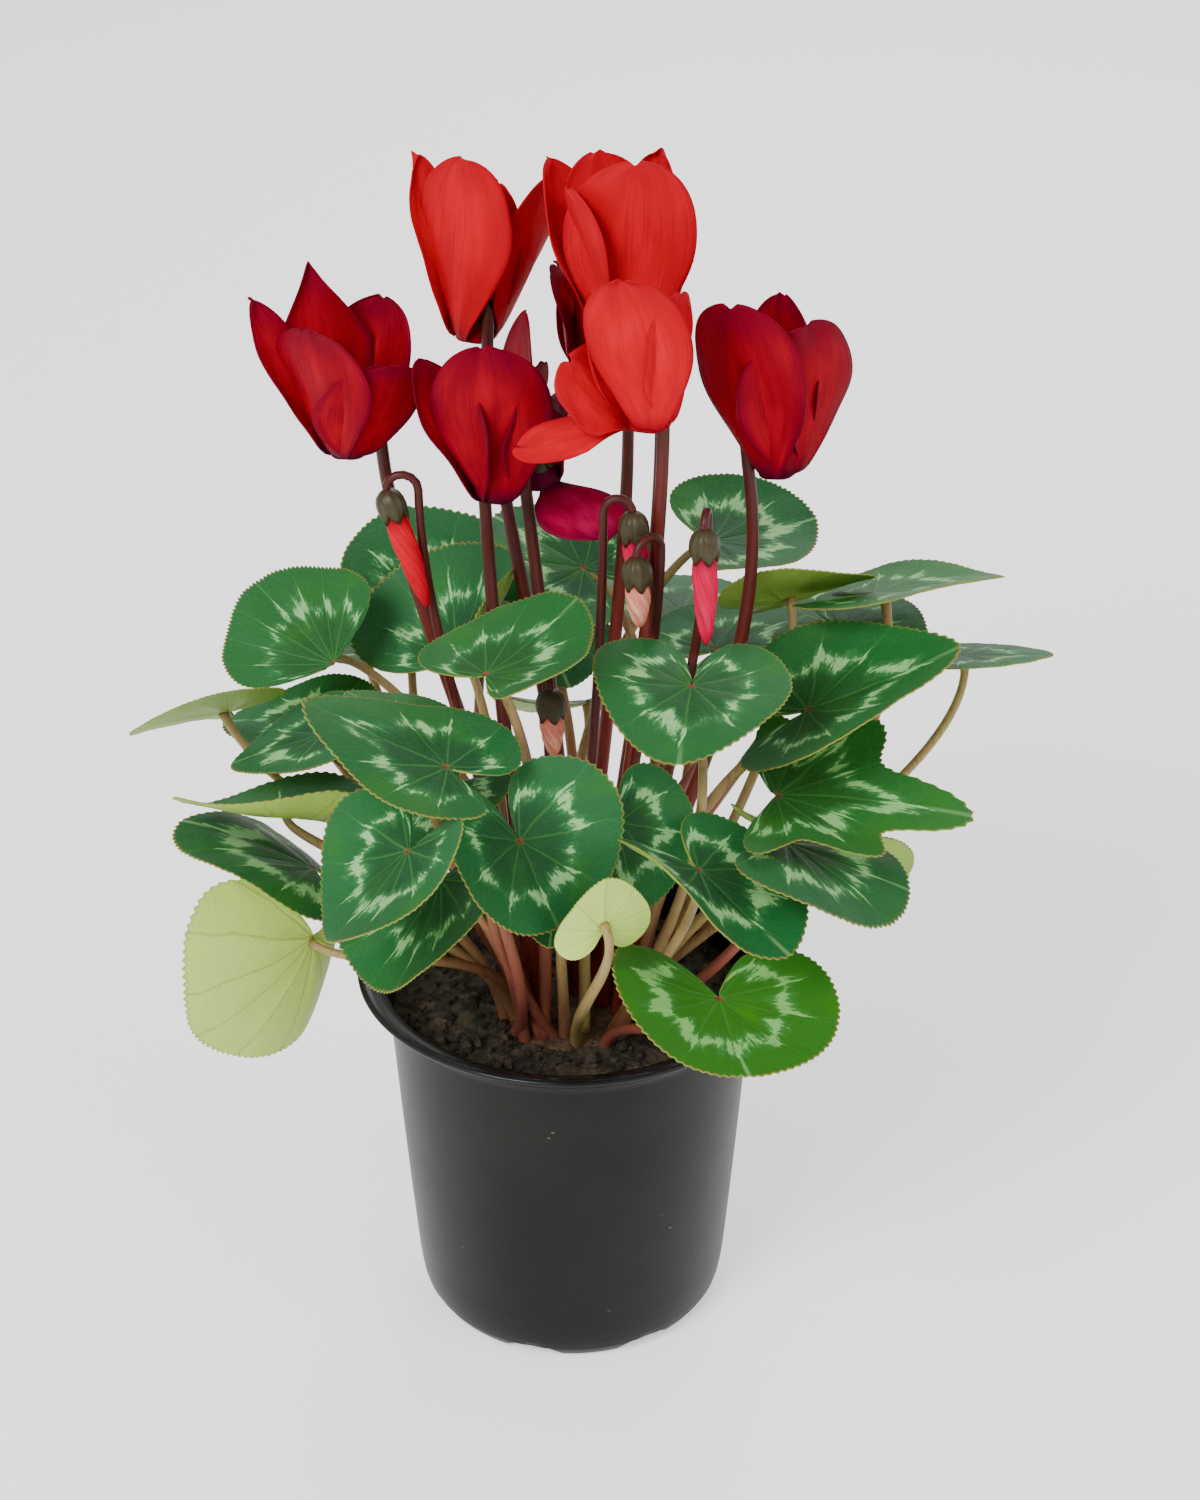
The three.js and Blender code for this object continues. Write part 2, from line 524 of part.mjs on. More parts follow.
const blooms = [
  makeBloom('bloom_01', colours.crimson, [-60, 0, 286], [180, 5], 5, [-8, -10], 40, [
    petal(-122, 43, 34, 8, -10),
    petal(-64, 34, 30, 22, 0, { lean: 0.2 }),
    petal(76, 42, 30, 16, 0, { lean: -0.2 }),
    petal(120, 54, 26, 6, 0, { point: 1 }),
    petal(172, 50, 12, 18, 50),
  ]),
  makeBloom('bloom_02', colours.scarlet, [-26, 26, 310], [0, 2], -65, [7, 4], 30, [
    petal(-138, 56, 31, 2, -45, { lean: 0.06 }),
    petal(5, 52, 30, 18, 36),
    petal(55, 44, 28, 4, 0),
    petal(105, 44, 28, 4, 0),
    petal(165, 54, 11, 12, 40),
  ]),
  makeBloom('bloom_03', colours.crimson, [-19, -10, 277], [180, 2], 120, [-12, -8], 70, [
    petal(-84, 52, 33, 9, -10, { lean: -0.04 }),
    petal(-150, 40, 26, 2, 0),
    petal(-168, 46, 16, 16, 60),
    petal(36, 53, 28, 6, 0, { point: 0.5 }),
    petal(-8, 42, 26, 10, 0),
  ]),
  makeBloom('bloom_04', colours.scarlet, [17, 8, 315], [180, 4], -15, [8, 0], 70, [
    petal(-80, 57, 36, 6, 0, { lean: 0.06 }),
    petal(-150, 50, 22, 10, -20),
    petal(172, 56, 20, 12, 25),
    petal(118, 54, 28, 4, 0),
    petal(58, 52, 22, 18, 0),
  ]),
  makeBloom('bloom_05', colours.crimson, [13, 40, 285], [0, 0], -60, [4, 6], 60, [
    petal(180, 44, 26, 14, 0),
    petal(-130, 38, 24, 8, 0),
    petal(10, 46, 26, 20, 0),
    petal(68, 44, 26, 8, 0),
    petal(122, 42, 26, 8, 0),
  ]),
  makeBloom('bloom_06', colours.scarlet, [22, -26, 305], [0, 0], 60, [10, -8], 60, [
    petal(-172, 26, 24, 36, 35, { tilt: -35 }),
    petal(-90, 46, 28, 4, -15, { lean: -0.16 }),
    petal(-20, 40, 22, 2, 0),
    petal(140, 38, 26, 6, 0),
    petal(-165, 30, 11, 97, 0, { tilt: -60 }),
  ]),
  makeBloom('bloom_07', colours.crimson, [59, 0, 280], [180, 7], 168, [16, -4], 70, [
    petal(-118, 59, 36, 11, -10),
    petal(-48, 50, 36, 12, 0),
    petal(5, 42, 26, 10, 0),
    petal(54, 51, 32, 4, 0, { point: 0.3 }),
    petal(98, 42, 22, 6, 0),
  ]),
  makeBloom('bloom_08', colours.magenta, [-8, 10, 272], [180, 6], -115, [2, -4], 60, [
    petal(-50, 24, 25, 118, 0),
    petal(28, 26, 20, 10, 0),
    petal(84, 24, 20, 4, 0),
    petal(140, 28, 22, 6, 0),
    petal(-168, 16, 15, 60, 0),
  ]),
];

const buds = [
  makeBud('bud_01', [-50, -12, 280], [-39, -17, 246], 0, 4.5, [-10, -6], 60),
  makeBud('bud_02', [18, -20, 277], [20, -22, 251], 180, 4, [2, 4], 60),
  makeBud('bud_03', [19, -30, 268], [20, -31, 247], 40, 4.5, [10, -2], 40),
  makeBud('bud_04', [37, -40, 281], [38, -42, 247], 80, 3.5, [14, -12], 60),
  makeBud('bud_05', [-5, -26, 225], [-4, -27, 204], 100, 3, [-2, -14], 40),
];

// Pot, soil and crown -------------------------------------------------------------

function potGeometry() {
  const innerFloor = footTop + potFloor;
  const stepHeight = potHeight - stepDrop;
  const profile = [
    [0, 0], [24, 0], [25, footTop], [37, footTop], [38, 0], [footRadius, 0],
    [wallFoot[0] + potWall, 6], [neckRadius - 0.6, stepHeight - 0.6], [neckRadius + 0.6, stepHeight + 0.4],
    [neckRadius + 1, potHeight - 4.6], [rimRadius - 2.5, potHeight - 2.6], [rimRadius, potHeight - 1.2],
    [rimRadius - 0.7, potHeight], [lipInner, potHeight - 0.4], [neckRadius + 0.4, potHeight - 3],
    [wallStep[0], stepHeight], wallFoot, [44, innerFloor], [0, innerFloor],
  ];
  let solid = solidOf(turned(profile, potSides));
  for (let i = 0; i < notchCount; i += 1) {
    const notch = new THREE.CylinderGeometry(notchHeight, notchHeight, 16, 8);
    notch.rotateZ(Math.PI / 2);
    notch.scale(1, notchWidth / 2 / notchHeight, 1);
    notch.translate(footRadius - 1, 0, 0);
    notch.rotateZ(rad(-90 + notchTurn + 360 * i / notchCount));
    solid = solid.subtract(solidOf(notch));
  }
  return geometryFromSolid(solid);
}

function tuberGeometry(grow) {
  const ball = new THREE.SphereGeometry(1, 12, 6);
  ball.rotateX(Math.PI / 2);
  ball.scale(tuberSize.x + grow, tuberSize.y + grow, tuberSize.z + grow);
  ball.translate(tuberCentre.x, tuberCentre.y, tuberCentre.z);
  return ball;
}

// Radius of the pot's inside at a height, on the slope between the foot and the step.
function wallRadius(height) {
  return lerp(wallFoot[0], wallStep[0], (height - wallFoot[1]) / (wallStep[1] - wallFoot[1]));
}

function soilGeometry() {
  const bottom = footTop + potFloor + soilClear;
  const shoulder = soilLevel - 1;
  const profile = [
    [0, bottom], [43.6, bottom], [wallRadius(7.6) - soilClear, 7.6], [wallRadius(shoulder) - soilClear, shoulder],
    [48, soilLevel], [38, soilLevel - 0.6], [28, soilLevel - 0.4], [0, soilLevel],
  ];
  const geometry = turned(profile, potSides);
  const place = geometry.attributes.position;
  for (let i = 0; i < place.count; i += 1) {
    const [x, y, z] = [place.getX(i), place.getY(i), place.getZ(i)];
    if (z > soilLevel - 0.8) {
      place.setZ(i, z + soilRipple * Math.sin(0.31 * x) * Math.cos(0.27 * y));
    }
  }
  const dish = new THREE.CylinderGeometry(dishTop, dishFoot, dishDepth, 12);
  dish.rotateX(Math.PI / 2);
  dish.translate(tuberCentre.x, tuberCentre.y, soilLevel - 0.5);
  const pocket = solidOf(tuberGeometry(seatGap + 0.1)).add(solidOf(dish));
  return geometryFromSolid(solidOf(geometry).subtract(pocket));
}

function crownGeometry() {
  const pieces = [tuberGeometry(0)];
  leaves.forEach((leaf) => {
    const points = petiolePoints(leaf, 5);
    pieces.push(sweep(points, leafStalk, stalkSeat(leaf).square));
  });
  blooms.forEach((bloom) => {
    pieces.push(sweep(flowerStalkPoints(bloom), flowerStalk));
    const calyx = turned(calyxProfile, 6);
    calyx.translate(0, 0, tubeTop + seatGap);
    calyx.applyMatrix4(bloom.place);
    pieces.push(calyx);
  });
  buds.forEach((bud) => {
    pieces.push(sweep(budStalkPoints(bud), budStalk));
    pieces.push(budCalyxGeometry(bud));
  });
  return geometryFromSolid(wasm.Manifold.union(pieces.map(solidOf)));
}

// The plant -----------------------------------------------------------------------

const cyclamen = new THREE.Group();

function addPiece(name, geometry, look) {
  const mesh = new THREE.Mesh(geometry, look);
  mesh.name = name;
  cyclamen.add(mesh);
}

addPiece('pot', potGeometry(), material(colours.pot, 0.45));
addPiece('soil', soilGeometry(), material(colours.soil, 0.95));
addPiece('tuber_with_stalks', crownGeometry(), material(colours.crown, 0.5));
leaves.forEach((leaf) => addPiece(leaf.name, bladeGeometry(leaf), material(colours.leaf, 0.5)));
blooms.forEach((bloom) => addPiece(bloom.name, bloomGeometry(bloom), material(bloom.colour, 0.5)));
buds.forEach((bud) => addPiece(bud.name, budGeometry(bud), material(colours.bud, 0.45)));

export default cyclamen;
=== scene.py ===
import bmesh
import bpy
import numpy as np
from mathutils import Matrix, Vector


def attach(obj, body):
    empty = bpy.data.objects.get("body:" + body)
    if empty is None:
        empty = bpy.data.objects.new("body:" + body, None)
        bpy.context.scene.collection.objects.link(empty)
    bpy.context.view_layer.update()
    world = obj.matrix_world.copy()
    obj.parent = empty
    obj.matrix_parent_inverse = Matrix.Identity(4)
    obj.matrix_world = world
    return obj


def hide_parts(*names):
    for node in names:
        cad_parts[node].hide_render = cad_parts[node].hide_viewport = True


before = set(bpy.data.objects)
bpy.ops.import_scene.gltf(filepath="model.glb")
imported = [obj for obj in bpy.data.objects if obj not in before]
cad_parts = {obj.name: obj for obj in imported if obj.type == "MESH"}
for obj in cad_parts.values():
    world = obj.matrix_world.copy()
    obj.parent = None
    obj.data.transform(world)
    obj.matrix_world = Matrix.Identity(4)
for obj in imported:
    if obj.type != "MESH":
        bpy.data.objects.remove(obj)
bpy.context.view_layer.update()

mm = 0.001
print("frame loaded")

# Potted cyclamen. Lengths are in millimetres here and turn to metres in addPiece.
# The pot's axis is x = y = 0, its feet stand on z = 0, and the front is -y.
deg = np.radians


# each row of vectors over its length
def unit(vectors):
    return vectors / np.linalg.norm(vectors, axis=-1, keepdims=True)


# 0 below low, 1 above high, with a smooth s-curve between
def smooth(value, low, high):
    t = np.clip((value - low) / (high - low), 0, 1)
    return t * t * (3 - 2 * t)


# sum of sines in three directions at rising pitch: a soft bumpy field in about -1..1
def bumps(x, y, z, pitch, seed, octaves=3):
    rng = np.random.default_rng(seed)
    total = np.zeros_like(x)
    for octave in range(octaves):
        turn = rng.normal(size=(3, 3)) * pitch * 1.9 ** octave
        shift = rng.uniform(0, 6.3, 3)
        waves = [np.sin(turn[k, 0] * x + turn[k, 1] * y + turn[k, 2] * z + shift[k]) for k in range(3)]
        total += (waves[0] * waves[1] + waves[2]) / 2 ** octave
    return total / 3


# corner numbers of the squares between the points of a rows x cols grid
def gridFaces(rows, cols, first=0, roundCols=False):
    r = np.arange(rows - 1)[:, None]
    c = np.arange(cols if roundCols else cols - 1)[None, :]
    nextCol = (c + 1) % cols
    corners = [r * cols + c, r * cols + nextCol, (r + 1) * cols + nextCol, (r + 1) * cols + c]
    return first + np.stack([np.broadcast_to(k, (r.size, c.size)) for k in corners], -1).reshape(-1, 4)


# even angles round a full turn
def around(count):
    return np.linspace(0, 2 * np.pi, count, endpoint=False)


# points at a distance and an angle round z, and at a height
def polar(reach, turn, height):
    return np.stack(np.broadcast_arrays(reach * np.cos(turn), reach * np.sin(turn), height), -1)


# a part from rows of points that close into rings; a mark is one number or a value per point
def ringsPart(points, marks):
    shape = points.shape[:2]
    marks = {key: np.broadcast_to(value, shape).ravel() for key, value in marks.items()}
    return points.reshape(-1, 3), gridFaces(*shape, roundCols=True), marks


# joins parts, each (points, faces, marks), into one set, moving the face numbers along
def joined(parts):
    counts = np.cumsum([0] + [len(part[0]) for part in parts])
    points = np.concatenate([part[0] for part in parts])
    faces = np.concatenate([part[1] + start for part, start in zip(parts, counts)])
    marks = {key: np.concatenate([part[2][key] for part in parts]) for key in parts[0][2]}
    return points, faces, marks


# makes the object: welds seams and poles, turns the faces out, smooths, and ties it to the frame
def addPiece(name, parts, finish, slot, nodes, smoothFaces=True):
    points, faces, marks = joined(parts)
    mesh = bpy.data.meshes.new(name)
    mesh.vertices.add(len(points))
    mesh.vertices.foreach_set("co", (points * mm).astype(np.float32).ravel())
    mesh.loops.add(faces.size)
    mesh.loops.foreach_set("vertex_index", faces.astype(np.int32).ravel())
    mesh.polygons.add(len(faces))
    mesh.polygons.foreach_set("loop_start", np.arange(0, faces.size, 4, dtype=np.int32))
    mesh.update(calc_edges=True)
    for key, values in marks.items():
        layer = mesh.attributes.new(key, "FLOAT", "POINT")
        layer.data.foreach_set("value", values.astype(np.float32).ravel())
    work = bmesh.new()
    work.from_mesh(mesh)
    bmesh.ops.remove_doubles(work, verts=work.verts, dist=2e-6)
    bmesh.ops.dissolve_degenerate(work, edges=work.edges, dist=1e-7)
    bmesh.ops.recalc_face_normals(work, faces=work.faces)
    work.to_mesh(mesh)
    work.free()
    mesh.polygons.foreach_set("use_smooth", [smoothFaces] * len(mesh.polygons))
    mesh.materials.append(finish)
    piece = bpy.data.objects.new(name, mesh)
    bpy.context.scene.collection.objects.link(piece)
    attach(piece, "root")
    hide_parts(*nodes)


# two faces of a sheet, half a thickness either side of the middle grid, and a wall round its rim
def sheetPart(middle, thickness, marks):
    rows, cols = middle.shape[:2]
    along = np.gradient(middle, axis=0)
    across = np.gradient(middle, axis=1)
    normal = unit(np.cross(along, across) + 1e-9)
    half = np.broadcast_to(np.asarray(thickness) / 2, (rows, cols))[..., None]
    grids = [middle + normal * half, middle - normal * half]
    count = rows * cols
    number = np.arange(count).reshape(rows, cols)
    rim = np.concatenate([number[0], number[1:, -1], number[-1, -2::-1], number[-2:0:-1, 0]])
    after = np.roll(rim, -1)
    wall = np.stack([rim, after, after + count, rim + count], -1)
    faces = np.concatenate([gridFaces(rows, cols), gridFaces(rows, cols, count)[:, ::-1], wall])
    both = {key: np.tile(np.broadcast_to(value, (rows, cols)).ravel(), 2) for key, value in marks.items()}
    both["under"] = np.repeat([0.0, 1.0], count)
    return np.concatenate([grid.reshape(-1, 3) for grid in grids]), faces, both


# a tube: rings of the given radii square to the path, held upright by a fixed side vector;
# share goes from 0 to 1 along it, and the other marks are the same at every point
def tubePart(path, radii, side, sides, marks):
    along = unit(np.gradient(path, axis=0))
    flat = unit(side - (along @ side)[:, None] * along)
    over = np.cross(along, flat)
    turn = around(sides)
    radii = np.concatenate([[0], radii, [0]])
    path, flat, over = [np.concatenate([a[:1], a, a[-1:]]) for a in (path, flat, over)]
    points = path[:, None] + radii[:, None, None] * (np.cos(turn)[None, :, None] * flat[:, None]
                                                     + np.sin(turn)[None, :, None] * over[:, None])
    return ringsPart(points, {"share": np.linspace(0, 1, len(path))[:, None], **marks})


# a profile of (radius, height) pairs turned round z; ends on the axis close by themselves
def turnedPart(profile, sides, marks):
    profile = np.asarray(profile, float)
    return ringsPart(polar(profile[:, :1], around(sides), profile[:, 1:]), marks)


# cubic curve through its four control points
def bezier(points, count):
    t = np.linspace(0, 1, count)[:, None]
    a, b, c, d = [np.asarray(p, float) for p in points]
    return (1 - t) ** 3 * a + 3 * t * (1 - t) ** 2 * b + 3 * t * t * (1 - t) * c + t ** 3 * d


# points a steady distance apart along a path of straight stretches, with its corners if asked
def respaced(path, count, keepCorners=False):
    steps = np.concatenate([[0], np.cumsum(np.linalg.norm(np.diff(path, axis=0), axis=1))])
    wanted = np.linspace(0, steps[-1], count)
    if keepCorners:
        wanted = np.unique(np.concatenate([wanted, steps]))
    return np.stack([np.interp(wanted, steps, axis) for axis in path.T], -1)


# Finishes. A wire is a number or colour on its way through the nodes of a finish. Sums,
# differences and products of wires are written as arithmetic, and each adds a Math node.
class Wire:
    def __init__(self, socket):
        self.socket, self.tree = socket, socket.id_data

    # a Math node with this wire as its first input
    def math(self, operation, *others):
        return addNode(self.tree, "Math", dict(enumerate((self, *others))), operation=operation)

    def __add__(self, other):
        return self.math("ADD", other)

    def __sub__(self, other):
        return self.math("SUBTRACT", other)

    def __rsub__(self, other):
        return addNode(self.tree, "Math", {0: other, 1: self}, operation="SUBTRACT")

    def __mul__(self, other):
        return self.math("MULTIPLY", other)

    def __abs__(self):
        return self.math("ABSOLUTE")

    # 0..1 as the value goes from low to high, with a smooth step
    def ease(self, low, high):
        return addNode(self.tree, "MapRange", {"Value": self, "From Min": low, "From Max": high},
                       interpolation_type="SMOOTHSTEP")


# sets a socket to a value, or links a wire to it
def plug(socket, value):
    if isinstance(value, Wire):
        socket.id_data.links.new(value.socket, socket)
    else:
        socket.default_value = value


# adds a node with its settings and inputs, and hands on one of its outputs
def addNode(tree, kind, inputs, output=0, **settings):
    node = tree.nodes.new("ShaderNode" + kind)
    for key, value in settings.items():
        setattr(node, key, value)
    for key, value in inputs.items():
        plug(node.inputs[key], value)
    return Wire(node.outputs[output])


# the values that a mesh carries at its points, by name
def readMarks(shader, *keys):
    return [addNode(shader.id_data, "Attribute", {}, "Fac", attribute_name=key) for key in keys]


# where the point is on its object, in metres
def place(shader):
    return addNode(shader.id_data, "TexCoord", {}, "Object")


# the same place, turned and then scaled by its own factor along each axis
def stretched(where, scale, turn=(0, 0, 0)):
    return addNode(where.tree, "Mapping", {"Vector": where, "Scale": scale, "Rotation": turn})


# a place from three wires or numbers
def joinXyz(x, y, z):
    return addNode(x.tree, "CombineXYZ", {0: x, 1: y, 2: z})


# soft clouds in 0..1
def noise(where, scale, detail=3.0, rough=0.55, warp=0.0):
    return addNode(where.tree, "TexNoise", {"Vector": where, "Scale": scale, "Detail": detail,
                                            "Roughness": rough, "Distortion": warp})


# the distance to the nearest of scattered points, or to the seams between their cells
def cells(where, scale, feature="F1"):
    return addNode(where.tree, "TexVoronoi", {"Vector": where, "Scale": scale}, feature=feature)


# bends the shading by the slope of a height, as distance in metres times strength
def relief(height, strength, distance):
    return addNode(height.tree, "Bump", {"Height": height, "Strength": strength, "Distance": distance})


# low x (1 - amount) + high x amount, of two colours
def blend(amount, low, high):
    low, high = [value if isinstance(value, Wire) else (*value, 1) for value in (low, high)]
    return addNode(amount.tree, "Mix", {0: amount, 6: low, 7: high}, 2, data_type="RGBA")


# lays coats over a colour, each given as its share and its own colour
def coated(colour, *coats):
    for share, coat in coats:
        colour = blend(share, colour, coat)
    return colour


# a new material and its shader
def newFinish(name):
    finish = bpy.data.materials.new(name)
    finish.use_nodes = True
    return finish, finish.node_tree.nodes["Principled BSDF"]


# sets the four sockets that every finish of the plant and pot uses
def dress(shader, colour, roughness, specular, normal):
    keys = ("Base Color", "Roughness", "Specular IOR Level", "Normal")
    for key, value in zip(keys, (colour, roughness, specular, normal)):
        plug(shader.inputs[key], value)


leafLook = {
    "heart": (0.007, 0.06, 0.019), "outer": (0.01, 0.104, 0.029), "lime": (0.034, 0.18, 0.003),
    "silver": (0.3, 0.58, 0.24), "limeSilver": (0.18, 0.48, 0.06), "mist": (0.055, 0.24, 0.07),
    "vein": (0.045, 0.19, 0.035), "edge": (0.2, 0.26, 0.035), "tooth": (0.24, 0.08, 0.03),
    "joint": (0.26, 0.05, 0.03), "belowPale": (0.5, 0.68, 0.13), "belowGreen": (0.09, 0.2, 0.018),
    "belowVein": (0.26, 0.27, 0.04), "veinCount": 9, "ringAt": 0.62, "ringTightness": 6.0,
    "mistFrom": 1.44, "silverFrom": 1.72, "silverTo": 1.8, "roughness": 0.41, "specular": 0.18,
}


# Dark green with pale veins that fan out from the stalk, a broken silver ring that runs out
# along the veins, and a fine yellow-green edge; below, pale green with darker veins.
def leafFinish():
    look = leafLook
    finish, shader = newFinish("leafMarbled")
    out, turn, x, y, seed, under, paleBelow, fresh = readMarks(
        shader, "out", "turn", "leafX", "leafY", "seed", "under", "paleBelow", "fresh")
    flat = joinXyz(x, y, seed * 7.3)
    wander = noise(flat, 3.0) - 0.5
    drift = noise(flat, 1.6, 2.0)
    # veins: turn is 0..1 per half leaf, cut into equal sectors that bend a little
    bent = turn * (look["veinCount"] / 2) + wander * 0.35
    away = abs(bent - bent.math("ROUND"))
    mainVein = 1 - (away * out.math("MAXIMUM", 0.05)).ease(0.006, 0.03)
    sideVein = 1 - abs((out * 7.0 + away * -5.0).math("FRACT") - 0.5).ease(0.02, 0.1)
    net = 1 - cells(flat, 26.0, "DISTANCE_TO_EDGE").ease(0.01, 0.09)
    veins = mainVein * (out.ease(1.05, 0.35) * 0.55 + 0.25)
    # silver: noise drawn out along the leaf's radii, in a broken band that wanders in and out
    feather = noise(joinXyz(turn * 17.0, out * 3.2, seed * 11.0), 2.9, 6.0, 0.76, 0.6)
    patch = noise(joinXyz(turn * 3.4, 0.0, seed * 9.0), 2.6, 2.0)
    offRing = abs(out - (wander * 0.36 + (away * -0.2 + look["ringAt"])))
    rays = mainVein * (1 - abs(out - 0.68).ease(0.08, 0.26))
    level = (1 - offRing * look["ringTightness"]) * 0.5 + feather * 1.3 + patch * 1.35
    level = level + rays * 0.34 + (seed - 0.5) * 0.16
    mist = level.ease(look["mistFrom"], look["silverTo"])
    silver = level.ease(look["silverFrom"], look["silverTo"])
    tipStreak = out.ease(0.66, 0.86) * (1 - abs(turn).ease(0.002, 0.012)) * (seed * 0.55)
    lime = (drift.ease(0.5, 0.74) * 0.35 + fresh).math("MINIMUM", 1.0)
    edge = (wander * 0.008 + out).ease(0.981, 0.998)
    tooth = out.ease(0.986, 0.998) * noise(flat, 9.0).ease(0.38, 0.58)
    upper = blend(1 - out.ease(0.34, 0.62), look["outer"], look["heart"])
    upper = coated(upper, (lime, look["lime"]), (net * 0.14, look["vein"]), (sideVein * 0.12, look["vein"]),
                   (veins * 0.7, look["vein"]), (mist * 0.6, look["mist"]),
                   (silver * 0.85, blend(fresh * 0.8, look["silver"], look["limeSilver"])),
                   (tipStreak, look["silver"]), (edge * 0.62, look["edge"]), (tooth * 0.8, look["tooth"]),
                   (1 - out.ease(0.01, 0.055), look["joint"]))
    lower = coated(blend(paleBelow, look["belowGreen"], look["belowPale"]), (net * 0.1, look["belowVein"]),
                   (mainVein * 0.45, look["belowVein"]), (edge * 0.4, look["edge"]))
    height = veins * -0.8 + net * -0.35 + noise(flat, 60.0, 2.0) * 0.5
    dress(shader, blend(under, upper, lower), drift * 0.22 + look["roughness"], look["specular"],
          relief(height, 0.35, 0.0006))
    return finish


petalLook = {"roughness": 0.55, "specular": 0.05, "throat": 0.85, "veins": 0.35}


# Velvety petal: long fine veins, a darker mouth and throat, and a rim that darkens by rimShare.
def petalFinish(name, base, deep, light, rimShare):
    finish, shader = newFinish(name)
    share, across, seed = readMarks(shader, "share", "across", "seed")
    lines = noise(joinXyz(across * 17.0, share * 1.1, seed * 5.0), 2.2, 4.0, 0.6)
    cloud = noise(joinXyz(across, share, seed), 2.1, 2.0)
    throat = 1 - share.ease(0.02, 0.2)
    rim = abs(across).math("MAXIMUM", share).ease(0.72, 1.0)
    colour = coated(blend(cloud.ease(0.35, 0.75), base, light),
                    (lines.ease(0.5, 0.72) * petalLook["veins"], deep),
                    (throat * petalLook["throat"], deep), (rim * rimShare, deep))
    dress(shader, colour, petalLook["roughness"], petalLook["specular"], relief(lines, 0.25, 0.0005))
    return finish


stalkLook = {"roughness": 0.42, "specular": 0.26, "streaks": 0.45}


# Fleshy stalk: one colour at the root and another near the top, with long streaks.
def stalkFinish(name, low, high, spot):
    finish, shader = newFinish(name)
    share, seed = readMarks(shader, "share", "seed")
    streak = noise(stretched(place(shader), (1, 1, 0.12)), 900.0, 3.0)
    colour = coated(blend((share + (seed - 0.5) * 0.9).ease(0.0, 0.95), low, high),
                    (streak.ease(0.48, 0.72) * stalkLook["streaks"], spot))
    dress(shader, colour, stalkLook["roughness"], stalkLook["specular"], relief(streak, 0.2, 0.0003))
    return finish


# Two colours in soft noise with paler flecks and a bumpy surface, for peat and the tuber.
def earthFinish(name, dark, light, scale, roughness, bump):
    finish, shader = newFinish(name)
    grain = noise(place(shader), scale, 6.0, 0.65)
    fleck = noise(place(shader), scale * 5, 3.0, 0.6)
    colour = coated(blend(grain.ease(0.38, 0.68), dark, light),
                    (fleck.ease(0.66, 0.78) * 0.5, (0.26, 0.14, 0.06)))
    dress(shader, colour, roughness, 0.5, relief(grain + fleck * 0.6, 0.9, bump))
    return finish


# rim is the colour of a painted highlight along the lip, above rimFrom; rimGloss makes the lip glossier
potLook = {"base": (0.0032, 0.0031, 0.0026), "worn": (0.0074, 0.007, 0.006), "rim": (0.018, 0.017, 0.022),
           "scuff": (0.2, 0.19, 0.17), "rimFrom": 0.1162, "roughness": 0.32, "rimGloss": -0.22,
           "specular": 0.16}


# Moulded black plastic: faint cloudiness, a few small pale scuffs, and a glossier rim. The rim's lighter,
# bluer colour above rimFrom is a painted highlight along the lip; its lower roughness is real gloss.
def potFinish():
    finish, shader = newFinish("potPlastic")
    where = place(shader)
    cloud = noise(where, 22.0, 4.0)
    fine = noise(where, 420.0, 3.0)
    speck = cells(stretched(where, (1.0, 1.0, 2.6), (0.5, 0.7, 0.3)), 110.0)
    scuff = (1 - speck.ease(0.03, 0.09)) * noise(where, 46.0, 1.0).ease(0.62, 0.68)
    height = addNode(where.tree, "SeparateXYZ", {0: where}, "Z")
    # the lip above rimFrom: it takes the painted highlight colour, broken by cloud, and a lower roughness
    rim = height.ease(potLook["rimFrom"], potLook["rimFrom"] + 0.0008)
    colour = coated(blend(cloud.ease(0.35, 0.75), potLook["base"], potLook["worn"]),
                    (rim * cloud.ease(0.25, 0.6), potLook["rim"]), (scuff * 0.7, potLook["scuff"]))
    roughness = cloud * 0.16 + potLook["roughness"] + rim * potLook["rimGloss"]
    dress(shader, colour, roughness, potLook["specular"], relief(cloud * 1.5 + fine * 0.12, 0.18, 0.0012))
    return finish


# lengths along the blade are shares of its length; a tooth takes spokesPerTooth of the spokes
leafShape = {"thickness": 0.8, "rings": 18, "spokes": 289, "spokesPerTooth": 4, "toothDepth": 0.02,
             "uneven": 0.022, "inset": 0.012, "pucker": 0.012, "ripple": 0.01, "veinSpacing": 40.0,
             "cornerStep": 48.0, "seatAt": 0.56}


# Direction vectors of a leaf. Heading turns round the pot, pitch lowers the tip, roll
# banks the blade; the three vectors point to the tip, to the left side and out of the face.
def leafAxes(heading, pitch, roll):
    heading, pitch, roll = deg(heading), deg(pitch), deg(roll)
    tip = np.array([np.cos(heading) * np.cos(pitch), np.sin(heading) * np.cos(pitch), -np.sin(pitch)])
    level = np.array([-np.sin(heading), np.cos(heading), 0])
    over = np.cross(tip, level)
    left = level * np.cos(roll) + over * np.sin(roll)
    return tip, left, over * np.cos(roll) - level * np.sin(roll)


# Distance from the stalk to the edge: a blunt heart that narrows to nothing in the sinus. An
# angular leaf draws in by corner, as a cosine, between its tip and the corners beside it.
def heartReach(wide, gap, corner, share):
    angle = np.abs(share) * deg(180 - gap)
    shoulder = 0.8 * wide
    heart = shoulder + (1 - shoulder) * np.exp(-(angle / deg(30)) ** 1.6)
    drawn = 1 - corner * (0.5 - 0.5 * np.cos(2 * np.pi * angle / deg(leafShape["cornerStep"])))
    return heart * drawn * np.sqrt(np.maximum(1 - np.abs(share) ** 8, 0))


